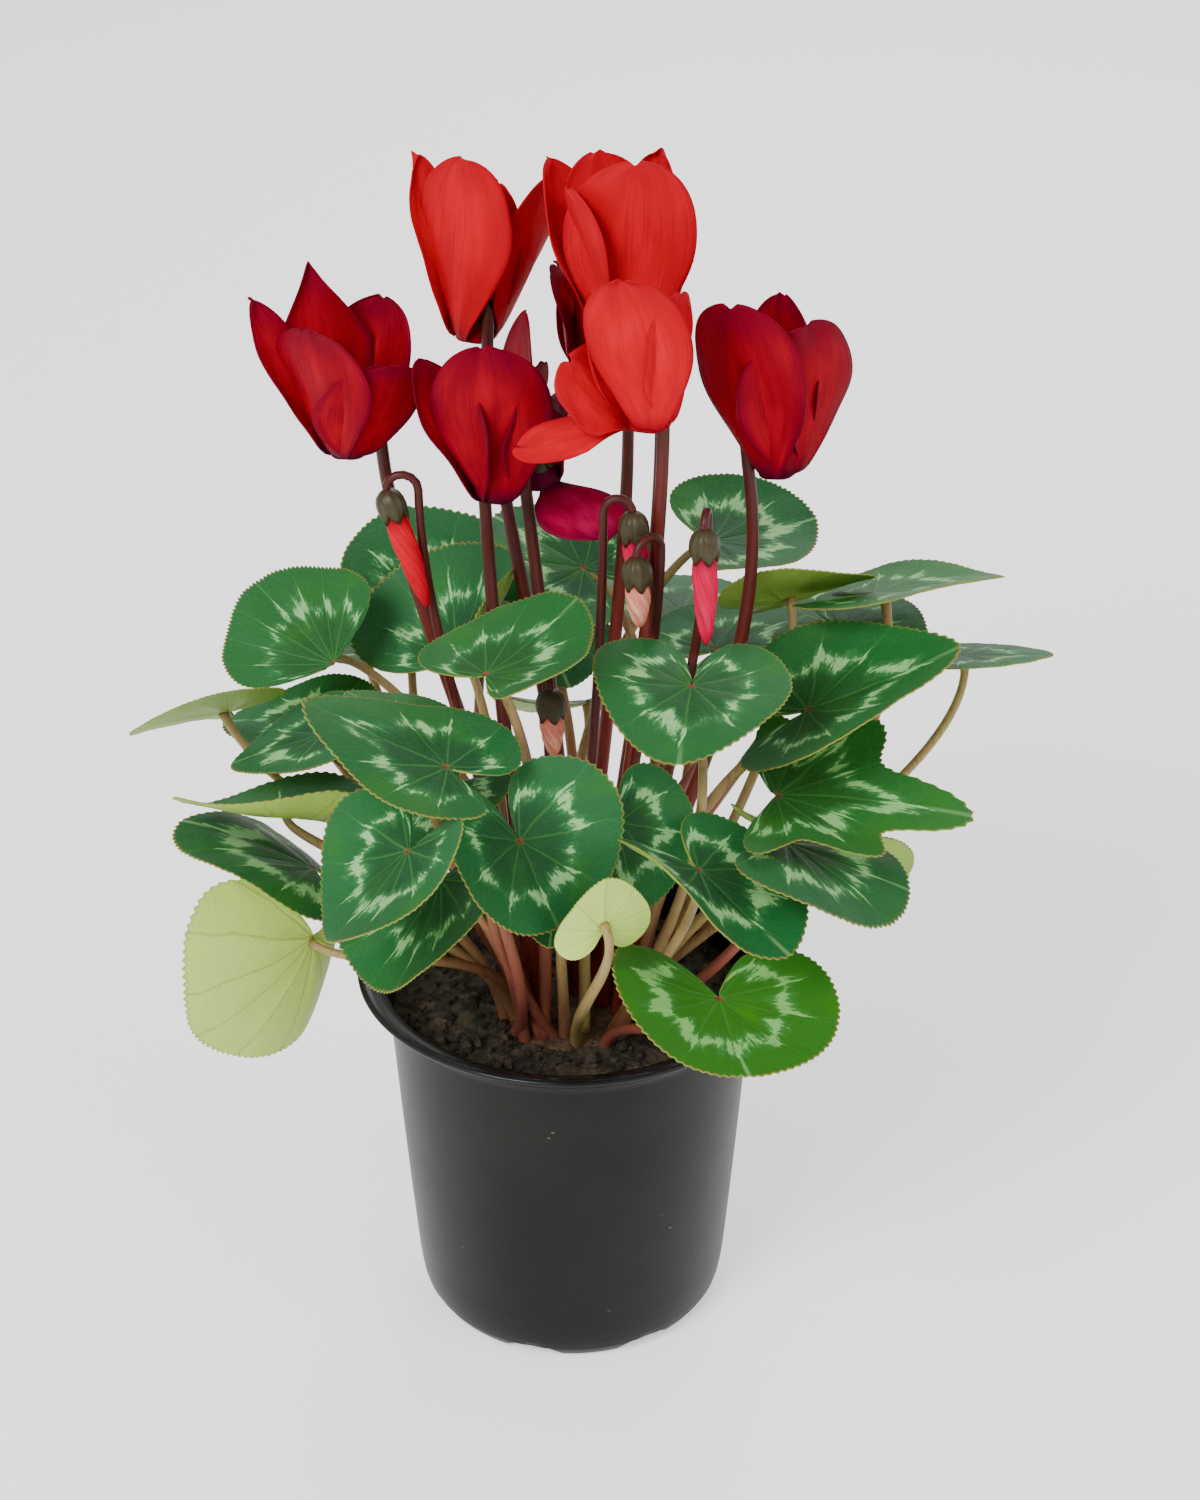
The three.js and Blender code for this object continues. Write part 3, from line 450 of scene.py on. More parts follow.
# Middle surface of a blade: the sides fold up with the square of their distance from the
# midrib, the tip bends down the same way, three waves run round the edge, and the blade
# puckers between its veins; fine scales the puckers and a ripple near the edge.
def bladePoints(leaf, out, share, fine=1.0):
    at, (heading, pitch, roll), (length, wide, gap, *corner), (cup, arch, wave, phase), bend = leaf
    tip, left, face = leafAxes(heading, pitch, roll)
    angle = share * deg(180 - gap)
    reach = heartReach(wide, gap, sum(corner), share)
    x, y = reach * out * np.cos(angle), reach * out * np.sin(angle)
    z = cup * y * y - arch * x * np.abs(x) + wave * out * out * reach * np.sin(3 * angle + phase)
    ridge = np.abs(np.cos(np.pi * np.degrees(angle) / leafShape["veinSpacing"]))
    z = z - fine * leafShape["pucker"] * np.sin(np.pi * np.clip(out, 0, 1)) * ridge ** 4 * reach
    fineWaves = bumps(x * 3, y * 3, 0 * x + phase + length, 2.2, 5)
    z = z + fine * leafShape["ripple"] * fineWaves * smooth(out, 0.35, 1.0)
    spot = x[..., None] * tip + y[..., None] * left + z[..., None] * face
    return np.asarray(at, float) + length * spot, x, y


# how pale a leaf's underside is, how lime its top and how green its stalk, where they differ
palerBelow = {11: 1.0, 13: 0.9, 14: 0.45, 15: 0.55, 16: 0.4}
fresher = {5: 0.1, 6: 0.15, 7: 0.25, 12: 0.68, 13: 0.6, 17: 0.15, 20: 0.15, 21: 0.15, 29: 0.7, 30: 0.3}
greenStalks = {8: 0.5, 9: 0.4, 10: 0.5, 11: 0.9, 13: 0.3}


# Blade: the middle surface on rings that crowd towards the edge, as a sine does. Towards the
# edge each spoke is drawn in by inset and by its saw tooth, and moved by uneven.
def leafPart(leaf, number):
    seed = 7 * number - 4
    shares = np.linspace(-0.997, 0.997, leafShape["spokes"])
    outs = np.sin(np.linspace(0, 1, leafShape["rings"]) * np.pi / 2) ** 1.15
    outs[0] = 0.004
    out, share = np.meshgrid(outs, shares, indexing="ij")
    saw = np.abs((np.arange(leafShape["spokes"]) / leafShape["spokesPerTooth"]) % 1 - 0.5) * 2
    depth = leafShape["toothDepth"] * (1 + 0.5 * bumps(shares * 9, 0 * shares, 0 * shares, 2.0, seed))
    wobble = leafShape["uneven"] * bumps(shares * 3, 0 * shares, 0 * shares, 2.0, seed + 1)
    tooth = 1 - (leafShape["inset"] + depth * (0.2 + saw) - wobble) * smooth(out, 0.6, 1.0)
    points, x, y = bladePoints(leaf, out * tooth, share)
    marks = {"out": out, "turn": share, "leafX": x, "leafY": y, "seed": seed % 97 / 97,
             "paleBelow": palerBelow.get(number, 0.3), "fresh": fresher.get(number, 0.04)}
    thickness = leafShape["thickness"] * (1.0 - 0.45 * smooth(out, 0.7, 1.0))
    return sheetPart(points, thickness, marks)


# Where a leaf's stalk ends, 2 mm in from the sinus, and the direction square to the blade
# there: across the line to the middle of the blade and the line between its two sides.
def stalkSeat(leaf):
    at = np.asarray(leaf[0], float)
    middle, left, right = [bladePoints(leaf, np.array(leafShape["seatAt"]), np.array(share), 0)[0]
                           for share in (0.0, 0.16, -0.16)]
    along = unit(middle - at)
    return at + 2 * along, unit(np.cross(along, left - right))


leafStalk = {"radius": 1.95, "thinning": 0.75, "head": 0.4, "rings": 40, "sides": 10,
             "rootRings": (20, 14, 17), "foot": 6, "below": 0.2, "axisBelow": 0.7, "flatEnd": 8}


# A leaf stalk is a cubic curve that leaves the tuber upward and meets the blade from below.
# It thins along its length and widens again at the blade.
def leafStalkPart(leaf, seed):
    swing, rise, reach = leaf[4]
    end, square = stalkSeat(leaf)
    root = rootToward(end - square * leafStalk["axisBelow"], leafStalk["rootRings"][(seed + 1) % 3])
    flat = unit(np.array([end[0] - root[0], end[1] - root[1], 0]))
    side = np.array([-flat[1], flat[0], 0])
    stop = end - square * leafStalk["below"]
    first = root + np.array([0, 0, rise]) + side * swing + flat * leafStalk["foot"]
    second = end - square * (reach + leafStalk["axisBelow"]) + side * swing / 2
    path = bezier((root, first, second, stop), leafStalk["rings"])
    share = np.linspace(0, 1, leafStalk["rings"])
    radii = leafStalk["radius"] - leafStalk["thinning"] * share
    radii = radii + leafStalk["head"] * smooth(share, 0.94, 1.0) + 0.05 * np.sin(share * 17 + seed)
    tint = np.random.default_rng(seed).uniform(0, 1) + greenStalks.get(seed + 1, 0)
    points, faces, marks = tubePart(path, radii, side, leafStalk["sides"], {"seed": tint})
    # the end lies flat against the blade, so none of it shows through
    above = np.clip((points - stop) @ square, 0, None)
    above = above * (np.linalg.norm(points - stop, axis=1) < leafStalk["flatEnd"])
    return points - above[:, None] * square, faces, marks


tuber = {"centre": np.array([0.0, -6.0, 96.0]), "size": np.array([25.0, 24.0, 12.0]),
         "rootRise": 5, "rings": 60, "sides": 120}


# the place on the tuber, on the side of the target, that a leaf stalk starts from
def rootToward(target, spread):
    away = (target - tuber["centre"]) * [1, 1, 0]
    foot = unit(away) * min(spread, 0.4 * np.linalg.norm(away))
    return tuber["centre"] + foot + [0, 0, tuber["rootRise"]]


# stalk end, (heading, pitch, roll), (length, width factor, half sinus, and corner where it has
# one), (cup, arch, wave, phase), and the stalk's (swing, rise, reach)
leafPlaces = [
    ((-32, -69, 224), (162, -18, 0), (44, 0.78, 22), (0.12, 0.04, 0.06, 1.1), (-24, 50, 4)),
    ((-42, -84, 207), (-136, 41, 19), (33, 1.19, 41), (0.25, -0.12, 0.1, 0.5), (-26, 95, 14)),
    ((-36, -45, 174), (-106, 37, 35), (37, 1.27, 60), (0.32, -0.12, -0.11, -2.7), (0, 35, 22)),
    ((-13, -67, 200), (-48, 50, 5), (27, 1.28, 8), (0.48, 0.09, 0.05, 2.1), (-6, 10, 44)),
    ((34, -45, 236), (-97, 6, -3), (33, 1.06, 8), (0.22, 0.09, 0.05, -0.5), (26, 35, 44)),
    ((68, -20, 215), (-3, -25, 6), (48, 0.85, 19), (0.36, -0.06, 0.04, -2.7), (-6, 95, 4)),
    ((59, -34, 195), (-6, -6, 5), (56, 0.93, 62, 0.3), (0.2, 0.16, 0.06, -0.4), (44, 35, 8)),
    ((61, -48, 188), (-5, 19, -12), (39, 1.25, 46), (-0.16, 0.04, 0.1, 0), (26, 35, 4)),
    ((36, -66, 190), (-43, 20, -17), (37, 1, 22), (0.34, 0, 0.09, -0.3), (18, 35, 32)),
    ((14, -49, 195), (-71, 53, -14), (27, 1.12, 12), (0.06, 0.03, -0.05, 0.4), (0, 95, 32)),
    ((10, -81, 180), (-77, -82, 10), (19, 0.95, 24), (0.04, 0.05, 0.05, 1), (-4, 20, 20)),
    ((42, -74, 153), (-78, 15, -12), (33, 1.28, 27), (0.22, -0.12, 0.03, 0.4), (0, 20, 22)),
    ((-76, -20, 139), (-134, 57, 78), (44, 1.28, 58), (0.45, -0.12, -0.12, -2.2), (0, 35, 22)),
    ((-74, -28, 167), (155, -19, 26), (43, 1.06, 37), (-0.24, 0.14, 0.11, -2.8), (0, 35, 8)),
    ((-79, -25, 183), (-179, -6, 27), (35, 1.24, 8), (0.28, 0.02, 0.1, 1.1), (0, 50, 8)),
    ((-101, 13, 197), (-143, -13, 35), (34, 0.94, 48), (0.12, 0.08, -0.04, 2.6), (-34, 20, 44)),
    ((-69, 12, 213), (138, -26, -26), (38, 1.08, 106), (0.12, 0.06, 0.05, 1.3), (-44, 50, 4)),
    ((-34, 23, 210), (60, -40, -27), (36, 1.28, 58), (0.59, -0.12, 0.08, 0.5), (0, 35, 14)),
    ((-43, 65, 207), (117, -44, -5), (35, 1.12, 18), (0.31, 0.05, 0.05, -1.9), (34, 20, 4)),
    ((-22, -48, 241), (38, -17, -9), (36, 1.04, 58), (0.18, -0.05, 0.08, 0.7), (6, 95, 14)),
    ((-41, -33, 215), (155, -22, 11), (25, 1.04, 16), (0.04, 0.07, 0.03, 0), (34, 35, 4)),
    ((-72, -6, 199), (178, 15, 1), (29, 1, 15), (0.12, 0.1, 0.03, 0), (-6, 70, 14)),
    ((-76, 32, 184), (167, 4, -4), (32, 0.9, 15), (0.1, 0.1, 0.03, 0), (0, 35, 22)),
    ((-3, -40, 166), (-97, 12, 3), (20, 0.8, 15), (0.13, 0.1, -0.03, 0), (0, 20, 22)),
    ((-9, 44, 209), (-68, 17, -1), (26, 1.05, 14), (0.09, 0.08, 0.03, 1), (-12, 50, 4)),
    ((-36, -16, 187), (-143, 15, 0), (30, 1, 14), (0.16, 0.08, 0.06, 2), (0, 35, 32)),
    ((4, 54, 224), (158, -27, -13), (33, 1, 15), (0.17, 0.1, 0.03, 0), (-44, 50, 8)),
    ((43, 48, 236), (11, -6, 7), (33, 1.14, 55), (0.28, -0.02, -0.06, -2.6), (44, 50, 4)),
    ((63, 21, 230), (-14, -28, -33), (29, 1, 15), (0.25, 0.1, 0.01, 0), (-6, 10, 32)),
    ((90, 19, 233), (-18, -18, -15), (39, 1.05, 22), (0.1, 0.05, 0.05, 2.7), (-34, 10, 44)),
    ((82, 32, 215), (-39, -4, 5), (27, 1.12, 8), (0.03, 0.06, 0.03, -0.5), (6, 95, 14)),
    ((116, 27, 208), (-22, -12, -16), (30, 1.01, 19), (-0, 0.03, -0.01, -1.4), (-18, 35, 32)),
    ((44, 31, 208), (31, -11, -2), (34, 1, 15), (0.11, 0.1, 0.01, 0), (12, 50, 8)),
    ((80, 6, 150), (75, 60, 0), (30, 1, 15), (0.2, 0.1, 0.04, 0), (0, 35, 8)),
    ((-23, 86, 203), (84, -7, -1), (40, 1.05, 18), (0.28, 0.12, 0.02, 1), (26, 35, 32)),
    ((35, 80, 196), (80, 5, 5), (42, 1, 18), (0.12, 0.12, 0.05, 2), (-26, 35, 32)),
    ((76, 63, 201), (46, 3, 0), (39, 1.05, 18), (0.17, 0.12, 0.04, 0.5), (0, 35, 32)),
    ((-64, 74, 188), (130, 7, 8), (43, 1, 18), (0.1, 0.12, 0.07, 2.5), (0, 35, 32)),
    ((5, 58, 176), (100, 25, 0), (36, 1.1, 18), (0.15, 0.12, 0.05, 3), (0, 35, 22)),
]
leafMarbled = leafFinish()
for number, leaf in enumerate(leafPlaces, 1):
    addPiece("leafBlade_%02d" % number, [leafPart(leaf, number)], leafMarbled, "leaf",
             ["leaf_%02d" % number])
print("leaves", len(leafPlaces))

stalkPale = stalkFinish("leafStalkSkin", (0.26, 0.075, 0.048), (0.31, 0.225, 0.085), (0.17, 0.03, 0.024))
crownNode = ["tuber_with_stalks"]
addPiece("leafStalks", [leafStalkPart(leaf, number) for number, leaf in enumerate(leafPlaces)],
         stalkPale, "stalks", crownNode)
print("leaf stalks")


bloomShape = {"stations": 40, "across": 23, "thickness": 0.55, "claw": 6.5, "widestAt": 0.6, "turn": 15,
              "cup": 0.2, "bend": 2.4, "ripple": 0.9, "crimp": 0.45, "uneven": 0.35,
              "foot": 5, "spring": 1.6, "lift": 0.7,
              "tubeSides": 50, "tubeTop": 7.0, "stalkOffset": 8.5, "hookRise": 9.0,
              "tube": [(0, 4.2), (3.2, 3.4), (4.5, 1.2), (4.8, 0.2), (5.4, -0.1), (5.9, 0.5), (5.6, 2.0),
                       (5.0, 3.8), (4.2, 5.6), (3.2, 6.8), (2.2, 7.1), (0, 7.2)]}


# Middle surface of an upswept petal, mouth at the origin: it leaves the mouth outward, turns
# up within a few millimetres and spreads by flare. Its half width swells as a sine from a
# claw to the widest place and rounds off as an ellipse, or comes to a point; the rim is
# crimped by a short wave.
def petalPoints(petal, s, across, seed):
    azimuth, length, width, flare, twist, lean, point, tilt = (*petal, 0, 0, 0)[:8]
    claw, widest = bloomShape["claw"] / width, bloomShape["widestAt"]
    swell = claw + (1 - claw) * np.sin(np.pi / 2 * np.minimum(1, s / widest)) ** 1.35
    past = np.maximum(0, s - widest) / (1 - widest)
    half = width / 2 * swell * np.sqrt(1 - 0.985 * past ** 2.2) * (1 - 0.85 * point * past)
    bend = bloomShape["bend"] / length
    leave = 1 - np.exp(-s / bend)
    radial = bloomShape["foot"] + bloomShape["spring"] * leave + length * np.sin(deg(flare)) * s
    rise = bloomShape["lift"] + length * np.cos(deg(flare)) * (s - bend * leave)
    shift = length * lean * s * s
    turn = deg(bloomShape["turn"] + twist * s)
    side = across * half * np.cos(turn) * np.cos(deg(tilt))
    outward = across * half * np.sin(turn) - bloomShape["cup"] * half * across * across * np.cos(turn)
    ripple = bloomShape["ripple"] * s * np.sin(7 * s + 2.4 * across + azimuth)
    rim = smooth(np.maximum(np.abs(across), past), 0.6, 1.0) * smooth(s, 0.1, 0.45)
    crimp = bloomShape["crimp"] * rim * np.sin(13 * s + 3 * across + seed)
    uneven = bloomShape["uneven"] * bumps(s * 3, across * 2, 0 * s, 1.6, seed + 1)
    r = radial + outward + ripple + crimp + uneven
    t = shift + side
    a = deg(azimuth)
    banked = across * half * np.sin(deg(tilt)) * np.minimum(1, 3 * s)
    z = rise + banked + 0.5 * rim * np.sin(4 * across + seed)
    return np.stack([r * np.cos(a) - t * np.sin(a), r * np.sin(a) + t * np.cos(a), z], -1)


# Petal: its stations are closer together at the mouth, and it thins towards the rim.
def petalPart(petal, seed):
    stations = 1 - (1 - np.linspace(0, 1, bloomShape["stations"])) ** 1.5
    s, across = np.meshgrid(stations, np.linspace(-1, 1, bloomShape["across"]), indexing="ij")
    points = petalPoints(petal, s, across, seed)
    return sheetPart(points, bloomShape["thickness"] * (1.2 - 0.5 * s),
                     {"share": s, "across": across, "seed": seed % 89 / 89})


# turns points from a flower's own frame, mouth down at the origin, to its place and lean
def standOn(points, bloom):
    leanAzimuth, lean = deg(bloom["lean"])
    axis = Vector((np.sin(lean) * np.cos(leanAzimuth), np.sin(lean) * np.sin(leanAzimuth), np.cos(lean)))
    turn = np.array(Vector((0, 0, 1)).rotation_difference(axis).to_matrix())
    return points @ turn.T + np.asarray(bloom["mouth"], float)


# a part turned and moved with its flower
def placed(part, bloom):
    return standOn(part[0], bloom), part[1], part[2]


# A hooked stalk: a cubic curve up from the tuber to entry, then a bow. It thins along its
# length, with a slight wave in its radius.
def hookedStalk(look, root, below, entry, bow, turn, phase, tint):
    root = np.array([*root, tuber["centre"][2] + tuber["rootRise"]])
    rise = bezier((root, root + [0, 0, look["upright"]], below, entry), look["riseRings"])
    share = np.linspace(0, 1, look["rings"])
    radii = look["radius"] - look["thinning"] * share + look["wave"] * np.sin(share * 23 + phase)
    return tubePart(respaced(np.concatenate([rise, bow]), look["rings"]), radii,
                    np.array([-np.sin(turn), np.cos(turn), 0]), look["sides"], {"seed": tint})


flowerStalk = {"radius": 2.3, "thinning": 0.6, "wave": 0.04, "upright": 45, "riseRings": 60,
               "bowRings": 18, "rings": 110, "sides": 12, "entry": -4, "into": 3.4}


# Flower stalk: it rises between two petals, and bows over in a half circle to the sepals.
def flowerStalkPart(bloom, seed):
    gap, look = deg(bloom["gap"]), flowerStalk
    offset, hook = bloomShape["stalkOffset"], bloomShape["hookRise"]
    arc = np.linspace(0, np.pi, look["bowRings"])
    out = np.array([offset, offset, *(offset / 2 * (1 + np.cos(arc))), 0])
    height = np.array([look["entry"] - bloom["reach"], look["entry"], *(hook + offset / 2 * np.sin(arc)),
                       bloomShape["tubeTop"] + look["into"]])
    below, entry, *bow = standOn(polar(out, gap, height), bloom)
    return hookedStalk(look, bloom["root"], below, entry, bow, gap, seed, 0.5 + 0.2 * np.sin(seed))


sepalShape = {"heights": (7.25, 6.4, 5.2, 5.6, 6.9, 8.5, 10.0, 10.8, 11.0),
              "radii": (0.0, 3.2, 5.3, 5.4, 4.5, 3.6, 2.4, 1.6, 0.0),
              "star": (0, 0.4, 1, 1, 0.7, 0.3, 0.1, 0, 0), "notch": 0.38, "sides": 60}


# Five pointed sepals that clasp the top of the tube: a turned cap whose radius is cut back
# between the points, by notch times 1 - |cos(2.5 turn)| ^ 0.7, as far as star says.
def sepalPart(bloom):
    turn = around(sepalShape["sides"])
    heights, radii, star = [np.array(sepalShape[key])[:, None] for key in ("heights", "radii", "star")]
    notched = 1 - sepalShape["notch"] + sepalShape["notch"] * np.abs(np.cos(2.5 * turn)) ** 0.7
    r = radii * (1 - star + star * notched)
    return placed(ringsPart(polar(r, turn, heights), {"share": 0.9, "seed": 0.5}), bloom)


# Corolla tube: its profile turned round z, with five shallow lobes in its radius.
def tubeMouthPart(seed):
    points, faces, marks = turnedPart(bloomShape["tube"], bloomShape["tubeSides"],
                                      {"share": 0.0, "across": 0.0, "seed": seed % 89 / 89, "under": 0.0})
    turn = np.arctan2(points[:, 1], points[:, 0])
    points[:, :2] *= (1 + 0.05 * np.cos(5 * turn))[:, None]
    return points, faces, marks


# the lean is (azimuth, angle), the stalk rises in the gap, and petals are (azimuth, length,
# width, flare, twist) and, where not zero, (lean, point, tilt)
bloomKeys = ("colour", "mouth", "lean", "gap", "root", "reach", "petals")
blooms = [dict(zip(bloomKeys, row)) for row in [
    ("crimson", (-60, 0, 286), (180, 5), 5, (-8, -10), 40, [
        (-122, 43, 34, 8, -10), (-64, 34, 30, 22, 0, 0.2), (76, 42, 30, 16, 0, -0.2),
        (120, 54, 26, 6, 0, 0, 1), (172, 50, 12, 18, 50)]),
    ("scarlet", (-26, 26, 310), (0, 2), -65, (7, 4), 30, [
        (-138, 56, 31, 2, -45, 0.06), (5, 52, 30, 18, 36), (55, 44, 28, 4, 0), (105, 44, 28, 4, 0),
        (165, 54, 11, 12, 40)]),
    ("crimson", (-19, -10, 277), (180, 2), 120, (-12, -8), 70, [
        (-84, 52, 33, 9, -10, -0.04), (-150, 40, 26, 2, 0), (-168, 46, 16, 16, 60),
        (36, 53, 28, 6, 0, 0, 0.5), (-8, 42, 26, 10, 0)]),
    ("scarlet", (17, 8, 315), (180, 4), -15, (8, 0), 70, [
        (-80, 57, 36, 6, 0, 0.06), (-150, 50, 22, 10, -20), (172, 56, 20, 12, 25), (118, 54, 28, 4, 0),
        (58, 52, 22, 18, 0)]),
    ("crimson", (13, 40, 285), (0, 0), -60, (4, 6), 60, [
        (180, 44, 26, 14, 0), (-130, 38, 24, 8, 0), (10, 46, 26, 20, 0), (68, 44, 26, 8, 0),
        (122, 42, 26, 8, 0)]),
    ("scarlet", (22, -26, 305), (0, 0), 60, (10, -8), 60, [
        (-172, 26, 24, 36, 35, 0, 0, -35), (-90, 46, 28, 4, -15, -0.16), (-20, 40, 22, 2, 0),
        (140, 38, 26, 6, 0), (-165, 30, 11, 97, 0, 0, 0, -60)]),
    ("crimson", (59, 0, 280), (180, 7), 168, (16, -4), 70, [
        (-118, 59, 36, 11, -10), (-48, 50, 36, 12, 0), (5, 42, 26, 10, 0), (54, 51, 32, 4, 0, 0, 0.3),
        (98, 42, 22, 6, 0)]),
    ("magenta", (-8, 10, 272), (180, 6), -115, (2, -4), 60, [
        (-50, 24, 25, 118, 0), (28, 26, 20, 10, 0), (84, 24, 20, 4, 0), (140, 28, 22, 6, 0),
        (-168, 16, 15, 60, 0)]),
]]

# base colour, the deep one of throat and veins, the light one, and how far the rim darkens
petalColours = {
    "scarlet": ((0.43, 0.0, 0.008), (0.18, 0.0, 0.006), (0.56, 0.0, 0.012), 0.25),
    "crimson": ((0.205, 0.0, 0.007), (0.03, 0.0, 0.012), (0.33, 0.0, 0.009), 0.45),
    "magenta": ((0.23, 0.0, 0.02), (0.055, 0.0, 0.018), (0.4, 0.002, 0.056), 0.5),
}
petalFinishes = {key: petalFinish("petal" + key.title(), *look) for key, look in petalColours.items()}
for number, bloom in enumerate(blooms):
    parts = [petalPart(petal, 31 * number + 5 * k + 1) for k, petal in enumerate(bloom["petals"])]
    parts.append(tubeMouthPart(number))
    addPiece("flower_%02d" % (number + 1), [placed(part, bloom) for part in parts],
             petalFinishes[bloom["colour"]], "petal_" + bloom["colour"], ["bloom_%02d" % (number + 1)])
print("flowers", len(blooms))

stalkDark = stalkFinish("flowerStalkSkin", (0.2, 0.022, 0.012), (0.06, 0.007, 0.005),
                        (0.03, 0.004, 0.004))
sepalOlive = stalkFinish("sepalSkin", (0.042, 0.032, 0.012), (0.046, 0.034, 0.013), (0.018, 0.008, 0.006))
addPiece("flowerStalks", [flowerStalkPart(bloom, number) for number, bloom in enumerate(blooms)],
         stalkDark, "stalks", crownNode)
addPiece("flowerSepals", [sepalPart(bloom) for bloom in blooms], sepalOlive, "stalks", crownNode)
print("flower stalks and sepals")

budShape = {"neck": 3.4, "calyxLength": 7.5, "sides": 60, "rings": 60, "turns": 0.42, "lap": 0.14,
            "profileAt": (0, 0.12, 0.3, 0.6, 0.85, 0.96, 1),
            "profile": (0.86, 0.98, 1.0, 0.86, 0.55, 0.3, 0)}


# rings of points round a straight axis, at their own distances along it, closed at both ends
def spunPart(start, along, distance, reach, marks):
    side = unit(np.cross(along, [0, 1, 0]))
    over = np.cross(along, side)
    turn = around(reach.shape[1])[:, None]
    outward = np.cos(turn) * side + np.sin(turn) * over
    points = start + distance[..., None] * along + reach[..., None] * outward
    again = np.r_[0, 0:len(reach), -1]
    marks = {key: np.broadcast_to(value, reach.shape)[again] for key, value in marks.items()}
    points = points[again]
    for end in (0, -1):
        points[end] = points[end].mean(0)
    return ringsPart(points, marks)


# the direction that a bud hangs in
def hangOf(bud):
    return unit(np.subtract(bud["tip"], bud["top"]).astype(float))


# A furled bud: radius falls from the neck to a blunt tip, five petals wind round it and
# overlap like a rolled umbrella, so the outline of each ring is a five-step saw.
def budPart(bud, seed):
    hang = hangOf(bud)
    start = np.asarray(bud["top"]) + hang * (budShape["calyxLength"] - 0.4)
    length = np.linalg.norm(np.asarray(bud["tip"]) - start)
    s = np.linspace(0, 1, budShape["rings"])
    radius = budShape["neck"] * np.interp(s, budShape["profileAt"], budShape["profile"])
    turn = around(budShape["sides"])
    wound = (turn[None, :] * 5 / (2 * np.pi) + s[:, None] * budShape["turns"] * 5 + seed) % 1
    step = budShape["lap"] * (wound - 0.5) * smooth(s, 0.0, 0.15)[:, None]
    reach = radius[:, None] * (1 + step)
    return spunPart(start, hang, s[:, None] * length, reach,
                    {"share": s[:, None], "across": wound * 2 - 1, "seed": seed / 7})


budSepalShape = {"distance": (0, 0.5, 1.6, 3.2, 5.0, 6.6, 8.2, 9.6, 9.2, 6.0),
                 "radii": (1.3, 2.2, 3.4, 4.0, 4.2, 4.1, 3.9, 3.5, 3.2, 2.2),
                 "rib": 0.035, "notch": 2.6, "sides": 60}


# Bud sepals: a cup with ten ribs whose lower edge is cut into five points that lie on the bud.
def budSepalPart(bud):
    turn = around(budSepalShape["sides"])
    distance, radii = [np.array(budSepalShape[key])[:, None] for key in ("distance", "radii")]
    cut = budSepalShape["notch"] * (1 - np.abs(np.cos(2.5 * turn)) ** 0.8)
    along = distance - smooth(distance, 5.4, 9.6) * cut
    reach = radii * (1 + budSepalShape["rib"] * np.cos(10 * turn))
    return spunPart(np.asarray(bud["top"], float), hangOf(bud), along, reach, {"share": 0.5, "seed": 0.5})


budStalk = {"radius": 1.7, "thinning": 0.5, "wave": 0, "upright": 40, "riseRings": 50, "bowRings": 20,
            "rings": 90, "sides": 12, "into": 1.2}


# Bud stalk: it bows over in a half circle of the bud's own radius, and into the sepals.
def budStalkPart(bud):
    azimuth = deg(bud["side"])
    top, radius, side = np.asarray(bud["top"], float), bud["radius"], polar(1, azimuth, 0)
    arc = np.linspace(0, np.pi, budStalk["bowRings"])[:, None]
    bow = top + side * radius + radius * (np.cos(arc) * side + np.sin(arc) * np.array([0, 0, 1]))
    return hookedStalk(budStalk, bud["root"], bow[0] - [0, 0, bud["reach"]], bow[0],
                       [*bow, top + hangOf(bud) * budStalk["into"]], azimuth, 0, 0.6)


# side, radius, root and reach are those of the stalk's hook
budKeys = ("colour", "top", "tip", "side", "radius", "root", "reach")
buds = [dict(zip(budKeys, row)) for row in [
    ("scarlet", (-50, -12, 280), (-39, -17, 246), 0, 4.5, (-10, -6), 60),
    ("pink", (18, -20, 277), (20, -22, 251), 180, 4, (2, 4), 60),
    ("pale", (19, -30, 268), (20, -31, 247), 40, 4.5, (10, -2), 40),
    ("pink", (37, -40, 281), (38, -42, 247), 80, 3.5, (14, -12), 60),
    ("pale", (-5, -26, 225), (-4, -27, 204), 100, 3, (-2, -14), 40),
]]

budColours = {
    "scarlet": ((0.5, 0.0, 0.012), (0.22, 0.0, 0.007), (0.64, 0.006, 0.022), 0.5),
    "pink": ((0.52, 0.001, 0.042), (0.26, 0.0, 0.02), (0.64, 0.01, 0.075), 0.5),
    "pale": ((0.6, 0.16, 0.12), (0.48, 0.04, 0.045), (0.78, 0.4, 0.26), 0.4),
}
budFinishes = {key: petalFinish("bud" + key.title(), *look) for key, look in budColours.items()}
for number, bud in enumerate(buds):
    addPiece("budPetals_%02d" % (number + 1), [budPart(bud, number)], budFinishes[bud["colour"]],
             "bud_petal", ["bud_%02d" % (number + 1)])
addPiece("budStalks", [budStalkPart(bud) for bud in buds], stalkDark, "stalks", crownNode)
addPiece("budSepals", [budSepalPart(bud) for bud in buds], sepalOlive, "stalks", crownNode)
print("buds", len(buds))


pot = {"height": 118, "rim": 65, "lipInner": 61.5, "neck": 56.4, "step": 9, "foot": 45, "wall": 1.2,
       "notches": 8, "notchWidth": 17, "notchHeight": 4.5, "notchTurn": 30, "notchReach": 36.5,
       "rings": 170, "sides": 288}


# rounds every corner of a profile by two passes that cut each stretch at a quarter from its ends
def softened(profile):
    profile = np.asarray(profile, float)
    for _ in range(2):
        first, last = profile[:1], profile[-1:]
        here, there = profile[:-1], profile[1:]
        cut = np.stack([here * 0.75 + there * 0.25, here * 0.25 + there * 0.75], 1)
        profile = np.concatenate([first, cut.reshape(-1, 2), last])
    return profile


